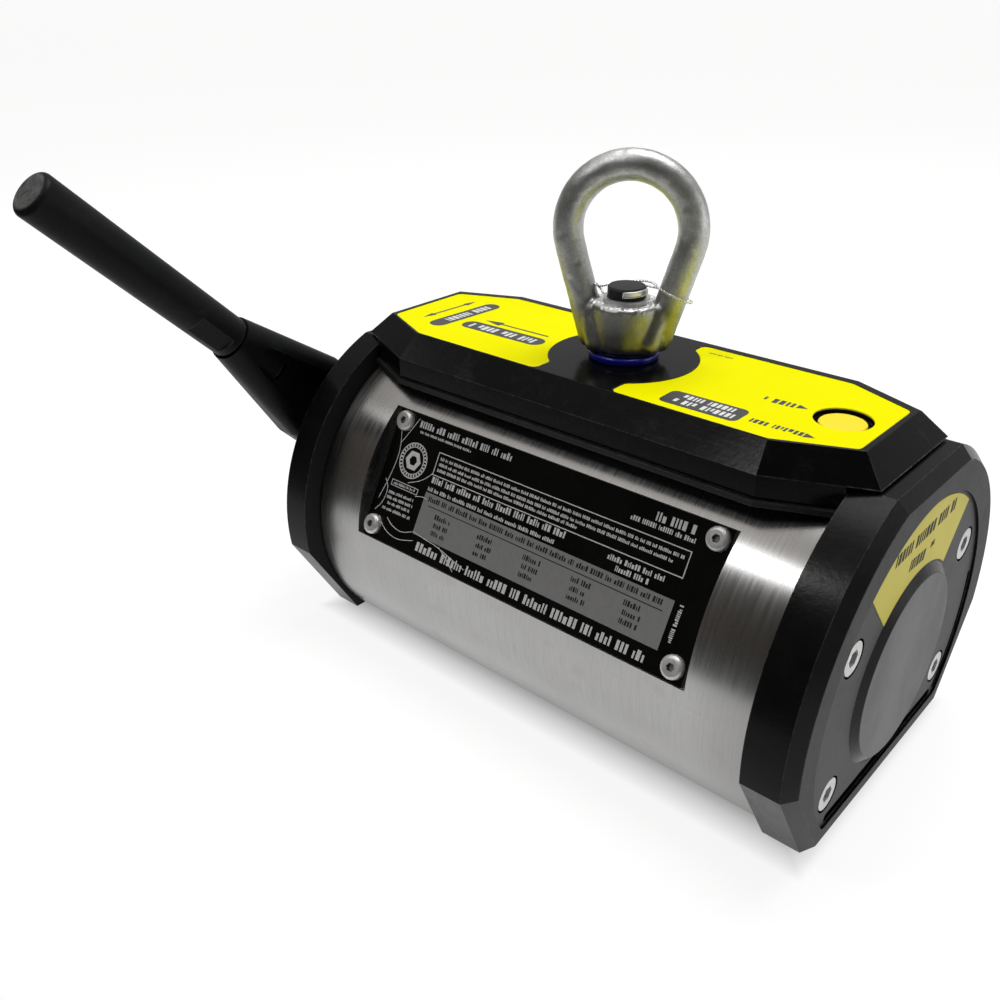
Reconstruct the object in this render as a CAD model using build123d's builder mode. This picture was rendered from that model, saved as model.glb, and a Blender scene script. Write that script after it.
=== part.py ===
from build123d import *
import os
from math import acos, cos, radians, sin, sqrt, tan

# Hand-switched lifting magnet, millimetres.
# X runs along the rotor axis towards the plain end cap, -Y is the data-plate side, Z is up.
# The origin is on the ground under the middle of the pole faces.

# ---- driving dimensions -------------------------------------------------------------
AXIS_Z = 58.0            # height of the rotor axis over the pole faces

BODY_R = 76.0            # steel body, round part
BODY_HALF_L = 113.8
BODY_TOP = 70.0          # flat under the cover, above the axis
BORE_R = 48.0            # rotor bore
SPACER_T = 16.0          # non-magnetic strips between the two halves
SEAM = 0.05              # assembly clearance between joined pieces

CAP_IN = 114.6           # end caps start here, along X
CAP_EDGE = 15.2          # cap rim, cylindrical part
CAP_CHAMFER = 4.4
EDGE_R = 0.6             # rounding of the caps' and the cover's edges
CAP_R = 85.0
CAP_TOP = 80.0           # above the axis
CAP_BOTTOM = 54.5        # below the axis
FACET_ANGLE = 31.0       # lower corner facet, normal below horizontal
FACET_DIST = 78.2
RECESS_R = 69.0
RECESS_BOTTOM = 45.0
RECESS_DEPTH = 1.2
GROOVE_W, GROOVE_DEPTH = 4.0, 2.1     # at the recess's foot and lower rear edge
BOSS_BASE_R = 41.0
BOSS_FACE_R = 37.3
BOSS_H = 2.2
ARC_LABEL_ANGLES = (53.2, 131.3)
ARC_LABEL_T = 0.3
CAP_SCREW_Y = 50.0       # half spacings of the four cap screws
CAP_SCREW_Z = 30.0
CAP_BORE_R = 7.4         # counterbore for M8 socket heads
LEFT_CAP_EDGE = 13.4     # the handle-side cap is a little thinner
GASKET_T = 0.8
GASKET_R = 75.4

COVER_TOP_X = (85.5, 115.0)   # half lengths of the top face: long sides, overall
COVER_TOP_Y = (35.7, 22.8)    # half widths of the top face: middle, ends
COVER_BEVEL = 9.3             # bevel width, outwards
COVER_BEVEL_H = 9.6
COVER_H = 90.8                # top face above the axis
COVER_WALL_END = 114.2        # the wall stops between the caps
COVER_T = 4.5                 # thickness of the top
COVER_SCREW_SEAT = 5.0        # depth of the screws' counterbores under the labels
LIP = 1.6
LIP_T = 2.3
LABEL_INSET = 2.1
LABEL_SHIFT = -1.4             # labels sit a little towards the data-plate side
LABEL_FILLET = 3.0
LABEL_GAP = 0.3
LABEL_T = 0.5
LABEL_POCKET = 0.7
LABEL_CLEAR_R = 31.0          # black circle left free round the eye
LABEL_CLEAR_X = 18.5
TAG_POS = (97.3, -2.6)
TAG_R = 10.65
PLUG_R = 8.6
TAG_DEPTH = 2.6

PLATE_L, PLATE_W, PLATE_T = 169.2, 59.2, 1.2
PLATE_ANGLE = 28.8            # data plate's normal above horizontal
PLATE_DIST = 69.2             # outer face of the plate from the axis
PLATE_SCREW = (79.4, 24.3)
PLATE_SHIFT = -0.9            # the plate sits a little towards the handle

EYE_YAW = 26.6
EYE_Z = 142.2                 # centre of the ring above the axis
EYE_R = 24.6                  # ring centre line
EYE_BAR_R = 6.0
EYE_LEG_LEAN = 16.2
EYE_BOSS_R = 14.0
EYE_BOSS_Z = (95.0, 114.1)
EYE_LEG_FOOT = 100.6
BOLT_R = 5.0
BOLT_HEAD_R = 7.8
BOLT_WASHER_R = 9.4
BOLT_HEAD_Z = (115.7, 120.4)
RING_Z = (90.8, 94.0)
RING_R = 14.5
COLLAR_R = 13.2
WIRE_R = 0.8
WIRE_Z = 118.6
BAND_R = (8.0, 9.2)           # seal's flat band, bent round the bolt head
BAND_Z = (117.9, 120.1)
BAND_ANGLES = (-65.0, 15.0)

ROTOR_R = 47.5
ROTOR_HALF_L = 98.0
MAGNET_T = 30.0
END_PLATE_T = 7.0
ROD_R = 2.9
SHAFT_R = 14.0
STUB_R = 12.0
BUSH_WALL = 4.0
FIT = 0.05                    # running clearance, radial
HEX_R = 12.7                  # drive hex, corner radius

ARM_X = -150.0
ARM_ANGLE = 44.8              # lever above horizontal, towards -Y
ARM_T = 21.0
ARM_W = 43.5
ARM_FILLET = 7.0
ARM_FLARE = (70.0, 124.6)     # distances along the lever where the flare starts and ends
# pocket in the arm: distances along the lever and half widths
ARM_POCKET = ((38.0, 14.2), (69.0, 14.2), (113.0, 5.0))
ARM_POCKET_DEPTH = 4.0
NECK_W = 21.2
HUB_R = 32.0
HUB_X = (-137.5, -172.0)
HUB_SHOULDER = -146.0
SPRING_R = 15.6
SPRING_WIRE = 1.1
WASHER_X = (-166.0, -169.0)
BAR_R = 9.6
BAR_END = 230.6
BAR_END_R = 2.6
BAR_FLATS = 17.0              # across the wrench flats
SPIGOT_R = 8.0
PIN_RADIUS = 26.0
PIN_R = 4.0
SLOT_DEPTH = 7.0
HANDLE_TURN = 90.0

# screws: head radius and height, shank radius and length under the head, hexagon key
M8_SCREW = dict(head_r=6.5, head_h=8.0, shank_r=3.4, length=20.0, key=6.0)
M5_SCREW = dict(head_r=4.6, head_h=4.8, shank_r=2.1, length=23.0, key=4.0)
BUTTON_SCREW = dict(head_r=4.6, head_h=2.7, shank_r=2.4, length=9.5, key=3.0)
RETAINING_SCREW = dict(head_r=8.0, head_h=5.0, shank_r=4.2, length=24.0, key=6.0)
M8_TAP_R = 3.5
M8_TAP_DEPTH = 16.0
M8_CLEARANCE_R = 4.4
M8_BORE_DEPTH = 8.6           # counterbore in the caps and in the anchor block
M8_SEAT = 8.2                 # depth of the head's underside
M5_TAP_R = 2.2
M5_CLEARANCE_R = 2.8
TOP_TAP_DEPTH = 14.0
THROUGH = 30.0                # longer than any wall that a hole goes through


# ---- helpers ------------------------------------------------------------------------
def axis_plane(x):
    """Plane across the rotor axis at x, with its origin on the axis."""
    return Plane(origin=(x, 0, AXIS_Z), x_dir=(0, 1, 0), z_dir=(1, 0, 0))


def level(z):
    """Horizontal plane at height z above the rotor axis."""
    return Plane.XY.offset(AXIS_Z + z)


def lever_plane(s):
    """Plane across the lever at distance s from the rotor axis."""
    a = radians(ARM_ANGLE)
    return Plane(origin=(ARM_X, -s * cos(a), AXIS_Z + s * sin(a)),
                 x_dir=(1, 0, 0), z_dir=(0, -cos(a), sin(a)))


def plate_plane(distance):
    """Plane of the data plate's flat, at a distance from the rotor axis."""
    a = radians(PLATE_ANGLE)
    return Plane(origin=(0, -distance * cos(a), AXIS_Z + distance * sin(a)),
                 x_dir=(1, 0, 0), z_dir=(0, -cos(a), sin(a)))


def octagon(grow, end=None):
    """Corner points of the cover's outline, grown outwards by a distance."""
    (x1, x2), (y1, y2) = COVER_TOP_X, COVER_TOP_Y
    slope = (y1 - y2) / (x2 - x1)
    hyp = sqrt(1 + slope ** 2)
    reach = y1 + slope * x1 + grow * hyp
    xa = (reach - (y1 + grow)) / slope
    xb = min(x2 + grow, end or 1e3)
    yb = reach - slope * xb
    return [(-xa, y1 + grow), (xa, y1 + grow), (xb, yb), (xb, -yb),
            (xa, -y1 - grow), (-xa, -y1 - grow), (-xb, -yb), (-xb, yb)]


def cap_outline(x, grow=0.0):
    """D-shaped outline of an end cap, drawn round the rotor axis."""
    a = radians(FACET_ANGLE)
    side, low, top = CAP_R + 10, CAP_BOTTOM + grow, CAP_TOP + grow
    facet = FACET_DIST + grow
    z_side = (facet - side * cos(a)) / sin(a)
    y_low = (facet - low * sin(a)) / cos(a)
    with BuildSketch(axis_plane(x)) as outline:
        Circle(CAP_R + grow)
        Polygon((-side, top), (side, top), (side, -z_side), (y_low, -low),
                (-y_low, -low), (-side, -z_side), align=None, mode=Mode.INTERSECT)
    return outline.sketch


def label_outline(z, side, shrink=0.0):
    """Outline of one cover label; side is -1 for the handle end, 1 for the plain end."""
    with BuildSketch(level(z)) as outline:
        with Locations((0, LABEL_SHIFT)):
            Polygon(*octagon(-LABEL_INSET - shrink), align=None)
        with Locations((-side * (150 - LABEL_CLEAR_X - shrink), 0)):
            Rectangle(300, 100, mode=Mode.SUBTRACT)
        Circle(LABEL_CLEAR_R + shrink, mode=Mode.SUBTRACT)
        fillet(outline.vertices(), LABEL_FILLET)
    return outline.sketch


def socket_screws(planes, points, head_r, head_h, shank_r, length, key):
    """Socket-head screws: heads start at each plane and stand along its normal."""
    with BuildPart() as screws:
        for plane in planes:
            with BuildSketch(plane):
                with Locations(*points):
                    Circle(head_r)
            extrude(amount=head_h)
            with BuildSketch(plane):
                with Locations(*points):
                    Circle(shank_r)
            extrude(amount=-length)
            with BuildSketch(plane.offset(head_h)):
                with Locations(*points):
                    RegularPolygon(key / sqrt(3), 6)
            extrude(amount=-head_h * 0.6, mode=Mode.SUBTRACT)
    return screws.part


CAP_POINTS = [(y, z) for y in (-CAP_SCREW_Y, CAP_SCREW_Y) for z in (-CAP_SCREW_Z, CAP_SCREW_Z)]
COVER_POINTS = [(x, y) for x in (-78, 78) for y in (-17, 17)]
ANCHOR_POINTS = [(x, y) for x in (-30, 30) for y in (-17, 17)]
PLATE_POINTS = [(x + PLATE_SHIFT, y) for x in (-PLATE_SCREW[0], PLATE_SCREW[0])
                for y in (-PLATE_SCREW[1], PLATE_SCREW[1])]
LOWER = -AXIS_Z                       # ground level, seen from the axis


# ---- steel body ---------------------------------------------------------------------
def body_ring(half):
    """One steel half: half is -1 for the data-plate side, 1 for the rear."""
    edge = SPACER_T / 2 + SEAM
    with BuildPart() as ring:
        with BuildSketch(axis_plane(-BODY_HALF_L)):
            Circle(BODY_R)
            with Locations((half * (edge + 50), (BODY_TOP + LOWER) / 2)):
                Rectangle(100, BODY_TOP - LOWER, mode=Mode.INTERSECT)
            Circle(BORE_R, mode=Mode.SUBTRACT)
        extrude(amount=2 * BODY_HALF_L)
        # tapped holes for the cap screws
        with BuildSketch(axis_plane(-BODY_HALF_L)):
            with Locations(*[p for p in CAP_POINTS if p[0] * half > 0]):
                Circle(M8_TAP_R)
        extrude(amount=M8_TAP_DEPTH, mode=Mode.SUBTRACT)
        with BuildSketch(axis_plane(BODY_HALF_L)):
            with Locations(*[p for p in CAP_POINTS if p[0] * half > 0]):
                Circle(M8_TAP_R)
        extrude(amount=-M8_TAP_DEPTH, mode=Mode.SUBTRACT)
        # tapped holes for the cover and the anchor block
        with BuildSketch(level(BODY_TOP)):
            with Locations(*[p for p in COVER_POINTS if p[1] * half > 0]):
                Circle(M5_TAP_R)
            with Locations(*[p for p in ANCHOR_POINTS if p[1] * half > 0]):
                Circle(M8_TAP_R)
        extrude(amount=-TOP_TAP_DEPTH, mode=Mode.SUBTRACT)
    return ring.part


with BuildPart() as front_pole:
    add(body_ring(-1))
    # milled seat that holds the data plate, with its four tapped holes
    with BuildSketch(plate_plane(PLATE_DIST - PLATE_T)):
        with Locations((PLATE_SHIFT, -0.4)):
            Rectangle(PLATE_L + 4.0, PLATE_W + 0.8)
    extrude(amount=THROUGH, mode=Mode.SUBTRACT)
    with BuildSketch(plate_plane(PLATE_DIST - PLATE_T)):
        with Locations(*PLATE_POINTS):
            Circle(2.5)
    extrude(amount=-9.0, mode=Mode.SUBTRACT)

with BuildPart() as rear_pole:
    add(body_ring(1))


def spacer(z_from, z_to):
    """Non-magnetic strip between the halves."""
    with BuildPart() as strip:
        with BuildSketch(axis_plane(-BODY_HALF_L)):
            with Locations((0, (z_from + z_to) / 2)):
                Rectangle(SPACER_T, z_to - z_from)
            Circle(BORE_R, mode=Mode.SUBTRACT)
        extrude(amount=2 * BODY_HALF_L)
    return strip.part


with BuildPart() as top_spacer:
    add(spacer(40.0, BODY_TOP))
    # room for the eye's nut
    with BuildSketch(level(BODY_TOP)):
        Circle(6.5)
    extrude(amount=-9, mode=Mode.SUBTRACT)

with BuildPart() as bottom_spacer:
    add(spacer(LOWER, -40.0))


# ---- end caps -----------------------------------------------------------------------
with BuildPart() as right_end_cap:
    extrude(cap_outline(CAP_IN), amount=CAP_EDGE + CAP_CHAMFER)
    chamfer(right_end_cap.faces().sort_by(Axis.X)[-1].edges(), CAP_CHAMFER)
    fillet(right_end_cap.faces().sort_by(Axis.X)[-1].edges(), EDGE_R)
    face_x = CAP_IN + CAP_EDGE + CAP_CHAMFER
    floor_x = face_x - RECESS_DEPTH
    # recess in the outer face, cut straight at the bottom
    with BuildSketch(axis_plane(face_x)) as recess:
        Circle(RECESS_R)
        with Locations((0, (RECESS_R - RECESS_BOTTOM) / 2)):
            Rectangle(2 * RECESS_R, RECESS_R + RECESS_BOTTOM, mode=Mode.INTERSECT)
        fillet(recess.vertices(), 4.0)
    extrude(amount=-RECESS_DEPTH, mode=Mode.SUBTRACT)
    # deeper groove along the straight foot and the lower rear edge
    with BuildSketch(axis_plane(floor_x)):
        with Locations((0, 0.2 - RECESS_BOTTOM + GROOVE_W / 2)):
            RectangleRounded(99.0, GROOVE_W, 1.9)
    extrude(amount=-GROOVE_DEPTH, mode=Mode.SUBTRACT)
    with BuildSketch(axis_plane(floor_x)):
        Circle(RECESS_R - 0.3)
        Circle(RECESS_R - 3.0, mode=Mode.SUBTRACT)
        with Locations((40.0, 6.0 - RECESS_BOTTOM / 2)):
            Rectangle(70.0, RECESS_BOTTOM + 7.0, mode=Mode.INTERSECT)
    extrude(amount=-GROOVE_DEPTH, mode=Mode.SUBTRACT)
    # round boss with a sloping side
    with BuildSketch(axis_plane(floor_x)):
        Circle(BOSS_BASE_R)
    with BuildSketch(axis_plane(floor_x + BOSS_H)):
        Circle(BOSS_FACE_R)
    loft()
    fillet(right_end_cap.edges().filter_by(GeomType.CIRCLE).filter_by(
        lambda e: abs(e.radius - BOSS_FACE_R) < 0.01), 1.2)
    # counterbored screw holes
    with BuildSketch(axis_plane(CAP_IN)):
        with Locations(*CAP_POINTS):
            Circle(M8_CLEARANCE_R)
    extrude(amount=THROUGH, mode=Mode.SUBTRACT)
    with BuildSketch(axis_plane(floor_x)):
        with Locations(*CAP_POINTS):
            Circle(CAP_BORE_R)
    extrude(amount=-M8_BORE_DEPTH, mode=Mode.SUBTRACT)
    # seat of the bearing bush, in the back
    with BuildSketch(axis_plane(CAP_IN)):
        Circle(STUB_R + FIT + BUSH_WALL + SEAM)
    extrude(amount=10, mode=Mode.SUBTRACT)

with BuildPart() as left_end_cap:
    extrude(cap_outline(-CAP_IN), amount=-(LEFT_CAP_EDGE + CAP_CHAMFER))
    chamfer(left_end_cap.faces().sort_by(Axis.X)[0].edges(), CAP_CHAMFER)
    fillet(left_end_cap.faces().sort_by(Axis.X)[0].edges(), EDGE_R)
    left_x = -(CAP_IN + LEFT_CAP_EDGE + CAP_CHAMFER)
    with BuildSketch(axis_plane(-CAP_IN)):
        with Locations(*CAP_POINTS):
            Circle(M8_CLEARANCE_R)
        Circle(SHAFT_R + FIT + BUSH_WALL + SEAM)
    extrude(amount=-THROUGH, mode=Mode.SUBTRACT)
    with BuildSketch(axis_plane(left_x)):
        with Locations(*CAP_POINTS):
            Circle(CAP_BORE_R)
    extrude(amount=M8_BORE_DEPTH, mode=Mode.SUBTRACT)
    # arc slot that ends the handle's turn
    slot_r = PIN_R + 0.5
    turn_ends = [radians(-ARM_ANGLE), radians(-ARM_ANGLE - HANDLE_TURN)]
    with BuildSketch(axis_plane(left_x)):
        Circle(PIN_RADIUS + slot_r)
        Circle(PIN_RADIUS - slot_r, mode=Mode.SUBTRACT)
        Polygon((0, 0), *[(60 * cos(a), 60 * sin(a)) for a in turn_ends],
                align=None, mode=Mode.INTERSECT)
        with Locations(*[(PIN_RADIUS * cos(a), PIN_RADIUS * sin(a)) for a in turn_ends]):
            Circle(slot_r)
    extrude(amount=SLOT_DEPTH, mode=Mode.SUBTRACT)


def gasket(x):
    """Flat seal between the body and a cap."""
    with BuildPart() as seal:
        with BuildSketch(axis_plane(x)):
            Circle(GASKET_R)
            with Locations((0, 8)):
                Rectangle(200, 122, mode=Mode.INTERSECT)
            Circle(BORE_R + 3, mode=Mode.SUBTRACT)
            with Locations(*CAP_POINTS):
                Circle(4.5, mode=Mode.SUBTRACT)
        extrude(amount=GASKET_T)
    return seal.part


with BuildPart() as right_cap_gasket:
    add(gasket(BODY_HALF_L))
with BuildPart() as left_cap_gasket:
    add(gasket(-CAP_IN))

with BuildPart() as right_cap_screws:
    add(socket_screws([axis_plane(floor_x - M8_SEAT)], CAP_POINTS, **M8_SCREW))
with BuildPart() as left_cap_screws:
    back = Plane(origin=(left_x + M8_SEAT, 0, AXIS_Z), x_dir=(0, 1, 0), z_dir=(-1, 0, 0))
    add(socket_screws([back], [(y, -z) for y, z in CAP_POINTS], **M8_SCREW))

with BuildPart() as right_bush:
    with BuildSketch(axis_plane(CAP_IN)):
        Circle(STUB_R + FIT + BUSH_WALL)
        Circle(STUB_R + FIT, mode=Mode.SUBTRACT)
    extrude(amount=9.8)

with BuildPart() as left_bush:
    with BuildSketch(axis_plane(-CAP_IN)):
        Circle(SHAFT_R + FIT + BUSH_WALL)
        Circle(SHAFT_R + FIT, mode=Mode.SUBTRACT)
    extrude(amount=-(LEFT_CAP_EDGE + 0.4))

with BuildPart() as shaft_seal:
    with BuildSketch(axis_plane(left_x + 0.4)):
        Circle(SHAFT_R + BUSH_WALL - 0.1)
        Circle(SHAFT_R + 0.3, mode=Mode.SUBTRACT)
    extrude(amount=3.4)

with BuildPart() as arc_label:
    with BuildSketch(axis_plane(floor_x)) as arc:
        Circle(RECESS_R - 1.6)
        Circle(BOSS_BASE_R + 0.9, mode=Mode.SUBTRACT)
        rays = [(CAP_R * cos(radians(a)), CAP_R * sin(radians(a))) for a in ARC_LABEL_ANGLES]
        Polygon((0, 0), rays[0], (CAP_R, 120), (-CAP_R, 120), rays[1],
                align=None, mode=Mode.INTERSECT)
    extrude(amount=ARC_LABEL_T)


# ---- cover --------------------------------------------------------------------------
WALL_FOOT = BODY_TOP + LIP_T
BEVEL_Z = COVER_H - COVER_BEVEL_H

with BuildPart() as top_cover:
    with BuildSketch(level(BEVEL_Z)):
        Polygon(*octagon(COVER_BEVEL), align=None)
    with BuildSketch(level(COVER_H)):
        Polygon(*octagon(0), align=None)
    loft()
    fillet(top_cover.faces().sort_by(Axis.Z)[-1].edges(), EDGE_R)
    with BuildSketch(level(WALL_FOOT)):
        Polygon(*octagon(COVER_BEVEL, COVER_WALL_END), align=None)
    extrude(amount=BEVEL_Z - WALL_FOOT)
    # hollow inside, with four screw posts
    with BuildSketch(level(WALL_FOOT)):
        Polygon(*octagon(-1.0, 106.0), align=None)
        with Locations(*COVER_POINTS):
            Circle(6.5, mode=Mode.SUBTRACT)
        with Locations(TAG_POS):
            Circle(TAG_R + 1.85, mode=Mode.SUBTRACT)
    extrude(amount=COVER_H - WALL_FOOT - COVER_T, mode=Mode.SUBTRACT)
    # label pockets, tag recess, screw holes and the hole for the eye's bolt
    for end in (-1, 1):
        extrude(label_outline(COVER_H, end), amount=-LABEL_POCKET, mode=Mode.SUBTRACT)
    with BuildSketch(level(COVER_H)):
        with Locations(TAG_POS):
            Circle(TAG_R)
    extrude(amount=-TAG_DEPTH, mode=Mode.SUBTRACT)
    with BuildSketch(level(COVER_H)):
        with Locations(*COVER_POINTS):
            Circle(M5_SCREW["head_r"] + 0.3)
    extrude(amount=-(LABEL_POCKET + COVER_SCREW_SEAT), mode=Mode.SUBTRACT)
    with BuildSketch(level(COVER_H)):
        with Locations(*COVER_POINTS):
            Circle(M5_CLEARANCE_R)
        Circle(BOLT_R + 3)
    extrude(amount=-THROUGH, mode=Mode.SUBTRACT)

with BuildPart() as cover_gasket:
    with BuildSketch(level(BODY_TOP)):
        Polygon(*octagon(COVER_BEVEL + LIP, COVER_WALL_END - 0.6), align=None)
        Rectangle(96, 56, mode=Mode.SUBTRACT)
        with Locations(*COVER_POINTS):
            Circle(M5_CLEARANCE_R, mode=Mode.SUBTRACT)
    extrude(amount=LIP_T - SEAM)

with BuildPart() as cover_screws:
    seat = level(COVER_H - LABEL_POCKET - COVER_SCREW_SEAT)
    add(socket_screws([seat], COVER_POINTS, **M5_SCREW))

with BuildPart() as cover_label_left:
    extrude(label_outline(COVER_H - LABEL_POCKET, -1, LABEL_GAP), amount=LABEL_T)

with BuildPart() as cover_label_right:
    extrude(label_outline(COVER_H - LABEL_POCKET, 1, LABEL_GAP), amount=LABEL_T)
    with BuildSketch(level(COVER_H)):
        with Locations(TAG_POS):
            Circle(TAG_R)
    extrude(amount=-2, mode=Mode.SUBTRACT)

with BuildPart() as tag_plug:
    with BuildSketch(level(COVER_H - TAG_DEPTH)):
        with Locations(TAG_POS):
            Circle(PLUG_R)
    extrude(amount=1.2)
    fillet(tag_plug.faces().sort_by(Axis.Z)[-1].edges(), 0.5)


# ---- eye anchor ---------------------------------------------------------------------
ANCHOR_TOP = COVER_H - 5.2

with BuildPart() as anchor_block:
    with BuildSketch(level(BODY_TOP)):
        RectangleRounded(84, 50, 5)
    extrude(amount=ANCHOR_TOP - BODY_TOP)
    with BuildSketch(level(BODY_TOP)):
        Circle(11.5)
    extrude(amount=10, mode=Mode.SUBTRACT)
    with BuildSketch(level(BODY_TOP)):
        Circle(BOLT_R + FIT)
        with Locations(*ANCHOR_POINTS):
            Circle(M8_CLEARANCE_R)
    extrude(amount=THROUGH, mode=Mode.SUBTRACT)
    with BuildSketch(level(ANCHOR_TOP)):
        with Locations(*ANCHOR_POINTS):
            Circle(CAP_BORE_R)
    extrude(amount=-M8_BORE_DEPTH, mode=Mode.SUBTRACT)

with BuildPart() as anchor_screws:
    add(socket_screws([level(ANCHOR_TOP - M8_SEAT)], ANCHOR_POINTS, **M8_SCREW))

with BuildPart() as swivel_ring:
    with BuildSketch(level(RING_Z[0])):
        Circle(RING_R)
        Circle(BOLT_R + 1.2, mode=Mode.SUBTRACT)
    extrude(amount=RING_Z[1] - RING_Z[0])
    fillet(swivel_ring.edges().filter_by(
        lambda e: e.geom_type == GeomType.CIRCLE and abs(e.radius - RING_R) < 0.01), 1.1)


# ---- swivelling eye -----------------------------------------------------------------
YAW = radians(EYE_YAW)
EYE_PLANE = Plane(origin=(0, 0, AXIS_Z), x_dir=(cos(YAW), sin(YAW), 0),
                  z_dir=(sin(YAW), -cos(YAW), 0))
LEAN = radians(EYE_LEG_LEAN)
tangent_point = (EYE_R * cos(LEAN), EYE_Z - EYE_R * sin(LEAN))
foot_x = tangent_point[0] - (tangent_point[1] - EYE_LEG_FOOT) * tan(LEAN)

with BuildPart() as lifting_eye:
    with BuildLine(EYE_PLANE) as bow:
        Line((-foot_x, EYE_LEG_FOOT), (-tangent_point[0], tangent_point[1]))
        ThreePointArc((-tangent_point[0], tangent_point[1]), (0, EYE_Z + EYE_R), tangent_point)
        Line(tangent_point, (foot_x, EYE_LEG_FOOT))
    with BuildSketch(Plane(origin=bow.wire() @ 0, z_dir=bow.wire() % 0)):
        Circle(EYE_BAR_R)
    sweep(path=bow.wire())
    with Locations(EYE_PLANE):
        with Locations((-foot_x, EYE_LEG_FOOT, 0), (foot_x, EYE_LEG_FOOT, 0)):
            Sphere(EYE_BAR_R)
    # boss, turned with a rounded foot
    with BuildSketch(Plane(origin=(0, 0, AXIS_Z), x_dir=(1, 0, 0), z_dir=(0, -1, 0))):
        z1, z2 = EYE_BOSS_Z
        Polygon((0, z1), (12.4, z1), (13.7, z1 + 1.7), (EYE_BOSS_R, z1 + 4), (EYE_BOSS_R, z2 - 0.8),
                (EYE_BOSS_R - 0.8, z2), (0, z2), align=None)
    revolve(axis=Axis((0, 0, 0), (0, 0, 1)))
    # flat bottom and the bolt's hole
    with BuildSketch(level(EYE_BOSS_Z[0])):
        Circle(30)
    extrude(amount=-10, mode=Mode.SUBTRACT)
    with BuildSketch(level(EYE_BOSS_Z[0])):
        Circle(BOLT_R + 0.2)
    extrude(amount=30, mode=Mode.SUBTRACT)

with BuildPart() as eye_bolt_washer:
    with BuildSketch(level(EYE_BOSS_Z[1])):
        Circle(BOLT_WASHER_R)
        Circle(BOLT_R + 0.3, mode=Mode.SUBTRACT)
    extrude(amount=BOLT_HEAD_Z[0] - EYE_BOSS_Z[1])

with BuildPart() as swivel_collar:
    with BuildSketch(level(RING_Z[1] + 0.1)):
        Circle(COLLAR_R)
        Circle(BOLT_R + 0.3, mode=Mode.SUBTRACT)
    extrude(amount=EYE_BOSS_Z[0] - RING_Z[1] - 0.1)
    fillet(swivel_collar.edges().filter_by(
        lambda e: e.geom_type == GeomType.CIRCLE and abs(e.radius - COLLAR_R) < 0.01), 0.3)

NUT_TOP = BODY_TOP + 8.4

with BuildPart() as eye_bolt:
    with BuildSketch(level(BOLT_HEAD_Z[0])):
        Circle(BOLT_HEAD_R)
    extrude(amount=BOLT_HEAD_Z[1] - BOLT_HEAD_Z[0])
    chamfer(eye_bolt.faces().sort_by(Axis.Z)[-1].edges(), 0.6)
    with BuildSketch(level(BOLT_HEAD_Z[0])):
        Circle(BOLT_R)
    extrude(amount=-(BOLT_HEAD_Z[0] - BODY_TOP + 4.0))

with BuildPart() as thrust_washer:
    with BuildSketch(level(NUT_TOP)):
        Circle(10.8)
        Circle(BOLT_R + 0.1, mode=Mode.SUBTRACT)
    extrude(amount=1.5)

with BuildPart() as eye_nut:
    with BuildSketch(level(BODY_TOP + 0.4)):
        RegularPolygon(9.6, 6)
        Circle(BOLT_R, mode=Mode.SUBTRACT)
    extrude(amount=NUT_TOP - BODY_TOP - 0.4)

# The seal wire lies in a plane square to the right leg: behind the bolt head, round the leg
# and back to the front of the head, where a flat band ends it.
WIRE_PLANE = Plane(origin=(0, 0, AXIS_Z + WIRE_Z),
                   x_dir=(cos(YAW) * cos(LEAN), sin(YAW) * cos(LEAN), -sin(LEAN)),
                   z_dir=(cos(YAW) * sin(LEAN), sin(YAW) * sin(LEAN), cos(LEAN)))
leg_at = 17.8                         # where the leg passes through that plane
wire_turn = EYE_BAR_R + 1.1

with BuildPart() as seal_wire:
    with BuildLine(WIRE_PLANE) as route:
        FilletPolyline((-10.2, -1.0), (-10.2, 10.2), (leg_at + wire_turn, 10.2),
                       (leg_at + wire_turn, -wire_turn), (8.0, -wire_turn), radius=5.0)
    with BuildSketch(Plane(origin=route.wire() @ 0, z_dir=route.wire() % 0)):
        Circle(WIRE_R)
    sweep(path=route.wire())

with BuildPart() as seal_ferrule:
    with BuildSketch(level(BAND_Z[0])):
        Circle(BAND_R[1])
        Circle(BAND_R[0], mode=Mode.SUBTRACT)
        Polygon((0, 0), *[(20 * cos(radians(a)), 20 * sin(radians(a)))
                          for a in (BAND_ANGLES[0], -25.0, BAND_ANGLES[1])],
                align=None, mode=Mode.INTERSECT)
    extrude(amount=BAND_Z[1] - BAND_Z[0])


# ---- rotor --------------------------------------------------------------------------
def rotor_segment(side):
    """Steel segment over (1) or under (-1) the magnets."""
    with BuildPart() as segment:
        with BuildSketch(axis_plane(-ROTOR_HALF_L)):
            Circle(ROTOR_R)
            with Locations((0, side * (MAGNET_T / 2 + SEAM + 50))):
                Rectangle(200, 100, mode=Mode.INTERSECT)
        extrude(amount=2 * ROTOR_HALF_L)
        with BuildSketch(axis_plane(-ROTOR_HALF_L)):
            with Locations(*[p for p in ROTOR_POINTS if p[1] * side > 0]):
                Circle(ROD_R + 0.1)
        extrude(amount=2 * ROTOR_HALF_L, mode=Mode.SUBTRACT)
    return segment.part


ROTOR_POINTS = [(y, z) for y in (-15, 15) for z in (-28, 28)]

with BuildPart() as rotor_upper_pole:
    add(rotor_segment(1))
with BuildPart() as rotor_lower_pole:
    add(rotor_segment(-1))

with BuildPart() as rotor_magnets:
    with BuildSketch(level(-MAGNET_T / 2)):
        with GridLocations(ROTOR_HALF_L / 2, 0, 4, 1):
            Rectangle(ROTOR_HALF_L / 2 - 0.2, 84)
    extrude(amount=MAGNET_T)

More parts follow.
